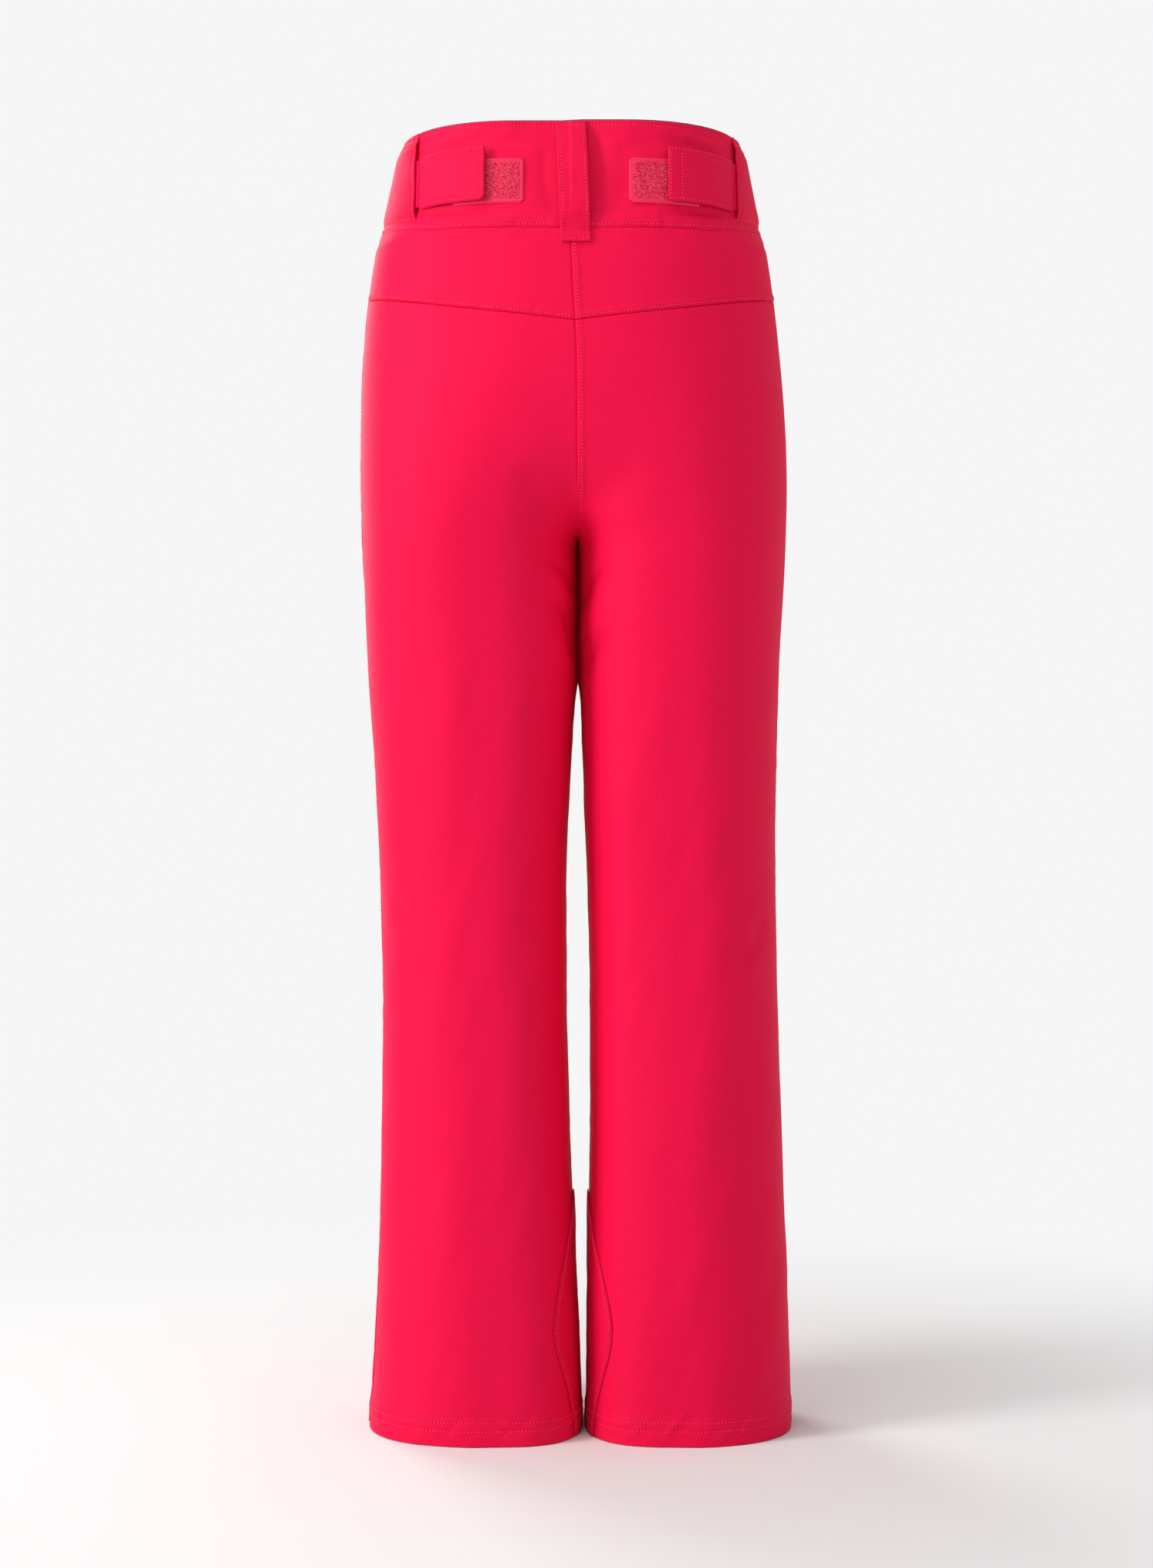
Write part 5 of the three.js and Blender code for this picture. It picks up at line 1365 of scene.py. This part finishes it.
# ---------------------------------------------------------------- cloth inside, from the shapes in the part
def soft_copy(node, name, mat, body=ROOT, length_mm=None, move=None, cuts=1, split=0.9):
    src = nodes[node]
    bm = bmesh.new()
    bm.from_mesh(src.data)
    bm.transform(src.matrix_world)
    bmesh.ops.remove_doubles(bm, verts=bm.verts, dist=2e-6)
    if cuts:
        bmesh.ops.subdivide_edges(bm, edges=bm.edges[:], cuts=cuts, use_grid_fill=True)
    bm.normal_update()
    if move:
        V = np.array([v.co[:] for v in bm.verts]) * 1000
        V = move(V) / 1000
        for v, c in zip(bm.verts, V):
            v.co = c
        bm.normal_update()
    area = sum(f.calc_area() for f in bm.faces) / 2
    zs = [v.co.z for v in bm.verts]
    for f in bm.faces:
        f.smooth = True
    for e in bm.edges:
        e.smooth = not (len(e.link_faces) == 2 and e.calc_face_angle(0) > split)
    me = bpy.data.meshes.new(name)
    bm.to_mesh(me)
    bm.free()
    ob = bpy.data.objects.new(name, me)
    bpy.context.scene.collection.objects.link(ob)
    me.materials.append(mat)
    put(ob, body, replaces=[node])
    l = (length_mm / 1000) if length_mm else (max(zs) - min(zs))
    l = round(l, 4)
    return ob


def leg_axis(side, z):
    s = F["OUT_L"](z) if side > 0 else F["OUT_R"](z)
    i = F["IN_L"](z) if side > 0 else -F["IN_R"](z)
    return side * (s + np.maximum(i, 0)) / 2


for side, sd in ((1, "left"), (-1, "right")):
    def inward(V, amp=1.2, sc=42.0, seed=5, side=side):
        cx = leg_axis(side, V[:, 2])
        d = np.stack([V[:, 0] - cx, V[:, 1], 0 * V[:, 0]], 1)
        ph = np.arctan2(d[:, 1], d[:, 0])
        k = 0.5 + 0.5 * np.clip(fbm(ph * 3.0 + 9, V[:, 2] / sc, seed, 2), -1, 1)
        return V - unit(d) * (amp * k)[:, None]

    def gather(V, side=side):
        cx = leg_axis(side, V[:, 2])
        d = np.stack([V[:, 0] - cx, V[:, 1], 0 * V[:, 0]], 1)
        ph = np.arctan2(d[:, 1], d[:, 0])
        bell = sm((V[:, 2] - 14) / 22) * sm((118 - V[:, 2]) / 50)
        w = 1.6 * (0.5 + 0.5 * np.sin(ph * 26 + 1.5 * fbm(ph * 4, V[:, 2] / 60, 9, 2))) * bell
        return V + unit(d) * w[:, None]

    soft_copy(f"lining_{sd}", f"cloth_lining_{sd}", M_LINING, move=inward)
    soft_copy(f"gaiter_{sd}", f"cloth_gaiter_{sd}", M_LINING, length_mm=114, move=gather, cuts=3)
    soft_copy(f"gaiter_elastic_{sd}", f"cloth_gaiter_elastic_{sd}", M_ELASTIC, cuts=1)
    soft_copy(f"hem_facing_{sd}", f"cloth_hem_facing_{sd}", M_TRIM, cuts=1)
    soft_copy(f"pocket_bag_{sd}", f"cloth_pocket_bag_{sd}", M_LINING, cuts=1)
    soft_copy(f"adjuster_strap_{sd}", f"cloth_strap_{sd}", M_TRIM, body=f"strap_{sd}_body", length_mm=38, cuts=1)
    soft_copy(f"adjuster_elastic_{sd}", f"cloth_adjuster_elastic_{sd}", M_ELASTIC, length_mm=38, cuts=1)
U, V = np.meshgrid(np.linspace(0, 1, 24), np.linspace(0, 1, 30))
X, Z = lerp(-44, -8, U), lerp(762.0, 802.0, V)
P, N = split_x(False, X, Z)
o = -7.2 + 0.25 * fbm(X / 9, Z / 9, 55, 2)
ob = slab_obj("fly_gusset", P + N * o[..., None], P + N * (o - 0.7)[..., None], M_TRIM)
put(ob)
declare_sheet(P)
soft_copy("fly_placket", "cloth_fly_placket", M_LINING, cuts=1)

tt = np.linspace(0, 1, 300)
ringx, ringz = [], []
for side in (1, -1):
    for back in (True, False):
        t = tt / 2 if back else 0.5 + tt / 2
        kap = 1 - 2 * t if back else 2 * t - 1
        z = F["Z_TOP"](t)
        ringx.append(place(side, back, kap * L_of(side, back, z), z))
        ringz.append(z)
ringx, ringz = np.concatenate(ringx)[:, :2], np.concatenate(ringz)


def raise_top(V):
    j = np.array([((ringx - v[:2]) ** 2).sum(1).argmin() for v in V])
    up = V[:, 2] > ringz[j] - 3.0
    V = V.copy()
    V[up, 2] += 2.3
    return V


soft_copy("waistband_facing", "cloth_waistband_facing", M_FACING, length_mm=76, move=raise_top, cuts=1)
finish_stitches()


# ---------------------------------------------------------------- what is still shown as built in the part
CAD_MAT = {}
for name, ob in nodes.items():
    if "slider" in name or "snap" in name: m = M_METAL
    elif "zip_tape" in name: m = M_COIL
    elif "pull" in name: m = M_RUBBER
    elif "loop_patch" in name or "tab_hook" in name: m = M_PILE
    elif "elastic" in name: m = M_ELASTIC
    elif name.startswith(("lining", "gaiter", "pocket_bag", "fly_placket", "waistband_facing", "hem_facing")): m = M_LINING
    else: m = M_SHELL
    ob.data.materials.clear()
    ob.data.materials.append(m)

# ---------------------------------------------------------------- studio
sc = bpy.context.scene
sc.view_settings.view_transform = "Standard"  # the dye is brighter than the default film-like curve can show


def mat_plain(name, color, rough=0.9, emit=0.0):
    m = bpy.data.materials.new(name)
    m.use_nodes = True
    b = m.node_tree.nodes["Principled BSDF"]
    b.inputs["Base Color"].default_value = (*color, 1)
    b.inputs["Roughness"].default_value = rough
    b.inputs["Specular IOR Level"].default_value = 0.1
    if emit:
        b.inputs["Emission Color"].default_value = (1, 1, 1, 1)
        b.inputs["Emission Strength"].default_value = emit
    return m


def plain_mesh(name, verts, faces, mat):
    me = bpy.data.meshes.new(name)
    me.from_pydata([tuple(v) for v in verts], [], faces)
    me.update()
    ob = bpy.data.objects.new(name, me)
    sc.collection.objects.link(ob)
    me.materials.append(mat)
    return ob


floor = plain_mesh("floor", [(-30, -30, -0.0005), (30, -30, -0.0005), (30, 30, -0.0005), (-30, 30, -0.0005)], [(0, 1, 2, 3)], mat_plain("floor_pale", (0.8, 0.8, 0.8)))

w = bpy.data.worlds.new("studio")
sc.world = w
w.use_nodes = True
wn = w.node_tree.nodes
bg = wn["Background"]
bg.inputs["Color"].default_value = (0.92, 0.92, 0.92, 1)
lp = wn.new("ShaderNodeLightPath")
mr = wn.new("ShaderNodeMapRange")  # a white sweep behind, a dimmer room around
mr.inputs["To Min"].default_value = 0.55
mr.inputs["To Max"].default_value = 1.0
w.node_tree.links.new(lp.outputs["Is Camera Ray"], mr.inputs["Value"])
w.node_tree.links.new(mr.outputs["Result"], bg.inputs["Strength"])

# the floor fades into the white sweep away from the object
fn = floor.data.materials[0].node_tree
pb = fn.nodes["Principled BSDF"]
geo = fn.nodes.new("ShaderNodeNewGeometry")
ln = fn.nodes.new("ShaderNodeVectorMath")
ln.operation = "LENGTH"
fn.links.new(geo.outputs["Position"], ln.inputs[0])
fr = fn.nodes.new("ShaderNodeMapRange")
fr.interpolation_type = "SMOOTHSTEP"
fr.inputs["From Min"].default_value = 0.22
fr.inputs["From Max"].default_value = 1.1
fn.links.new(ln.outputs["Value"], fr.inputs["Value"])
em = fn.nodes.new("ShaderNodeEmission")
em.inputs["Color"].default_value = (0.92, 0.92, 0.92, 1)
em.inputs["Strength"].default_value = 1.0
mx = fn.nodes.new("ShaderNodeMixShader")
fn.links.new(fr.outputs["Result"], mx.inputs["Fac"])
fn.links.new(pb.outputs["BSDF"], mx.inputs[1])
fn.links.new(em.outputs["Emission"], mx.inputs[2])
fn.links.new(mx.outputs["Shader"], fn.nodes["Material Output"].inputs["Surface"])


def area(name, loc, target, size, power, color=(1, 1, 1)):
    from mathutils import Vector
    d = bpy.data.lights.new(name, "AREA")
    d.shape = "RECTANGLE"
    d.size, d.size_y = size
    d.energy = power
    d.color = color
    ob = bpy.data.objects.new(name, d)
    ob.location = loc
    ob.rotation_euler = (Vector(target) - Vector(loc)).to_track_quat("-Z", "Y").to_euler()
    sc.collection.objects.link(ob)
    return ob


area("key", (2.5, 1.3, 1.5), (0, 0, 0.55), (0.9, 1.6), 62)
area("fill", (-2.6, 2.2, 1.2), (0, 0, 0.5), (1.6, 2.0), 5)
area("top", (0.7, 0.9, 2.8), (0, 0, 0.6), (1.2, 1.2), 16)
area("front", (1.6, -2.6, 1.7), (0, 0, 0.5), (1.4, 1.8), 52)

cam = bpy.data.cameras.new("cam")
cam.sensor_fit = "AUTO"
cam.sensor_width = 36
cam.lens = 62.5
co = bpy.data.objects.new("cam", cam)
co.location = (0.0, 2.2, 0.515)
co.rotation_euler = (math.pi / 2, 0, math.pi)
sc.collection.objects.link(co)
sc.camera = co
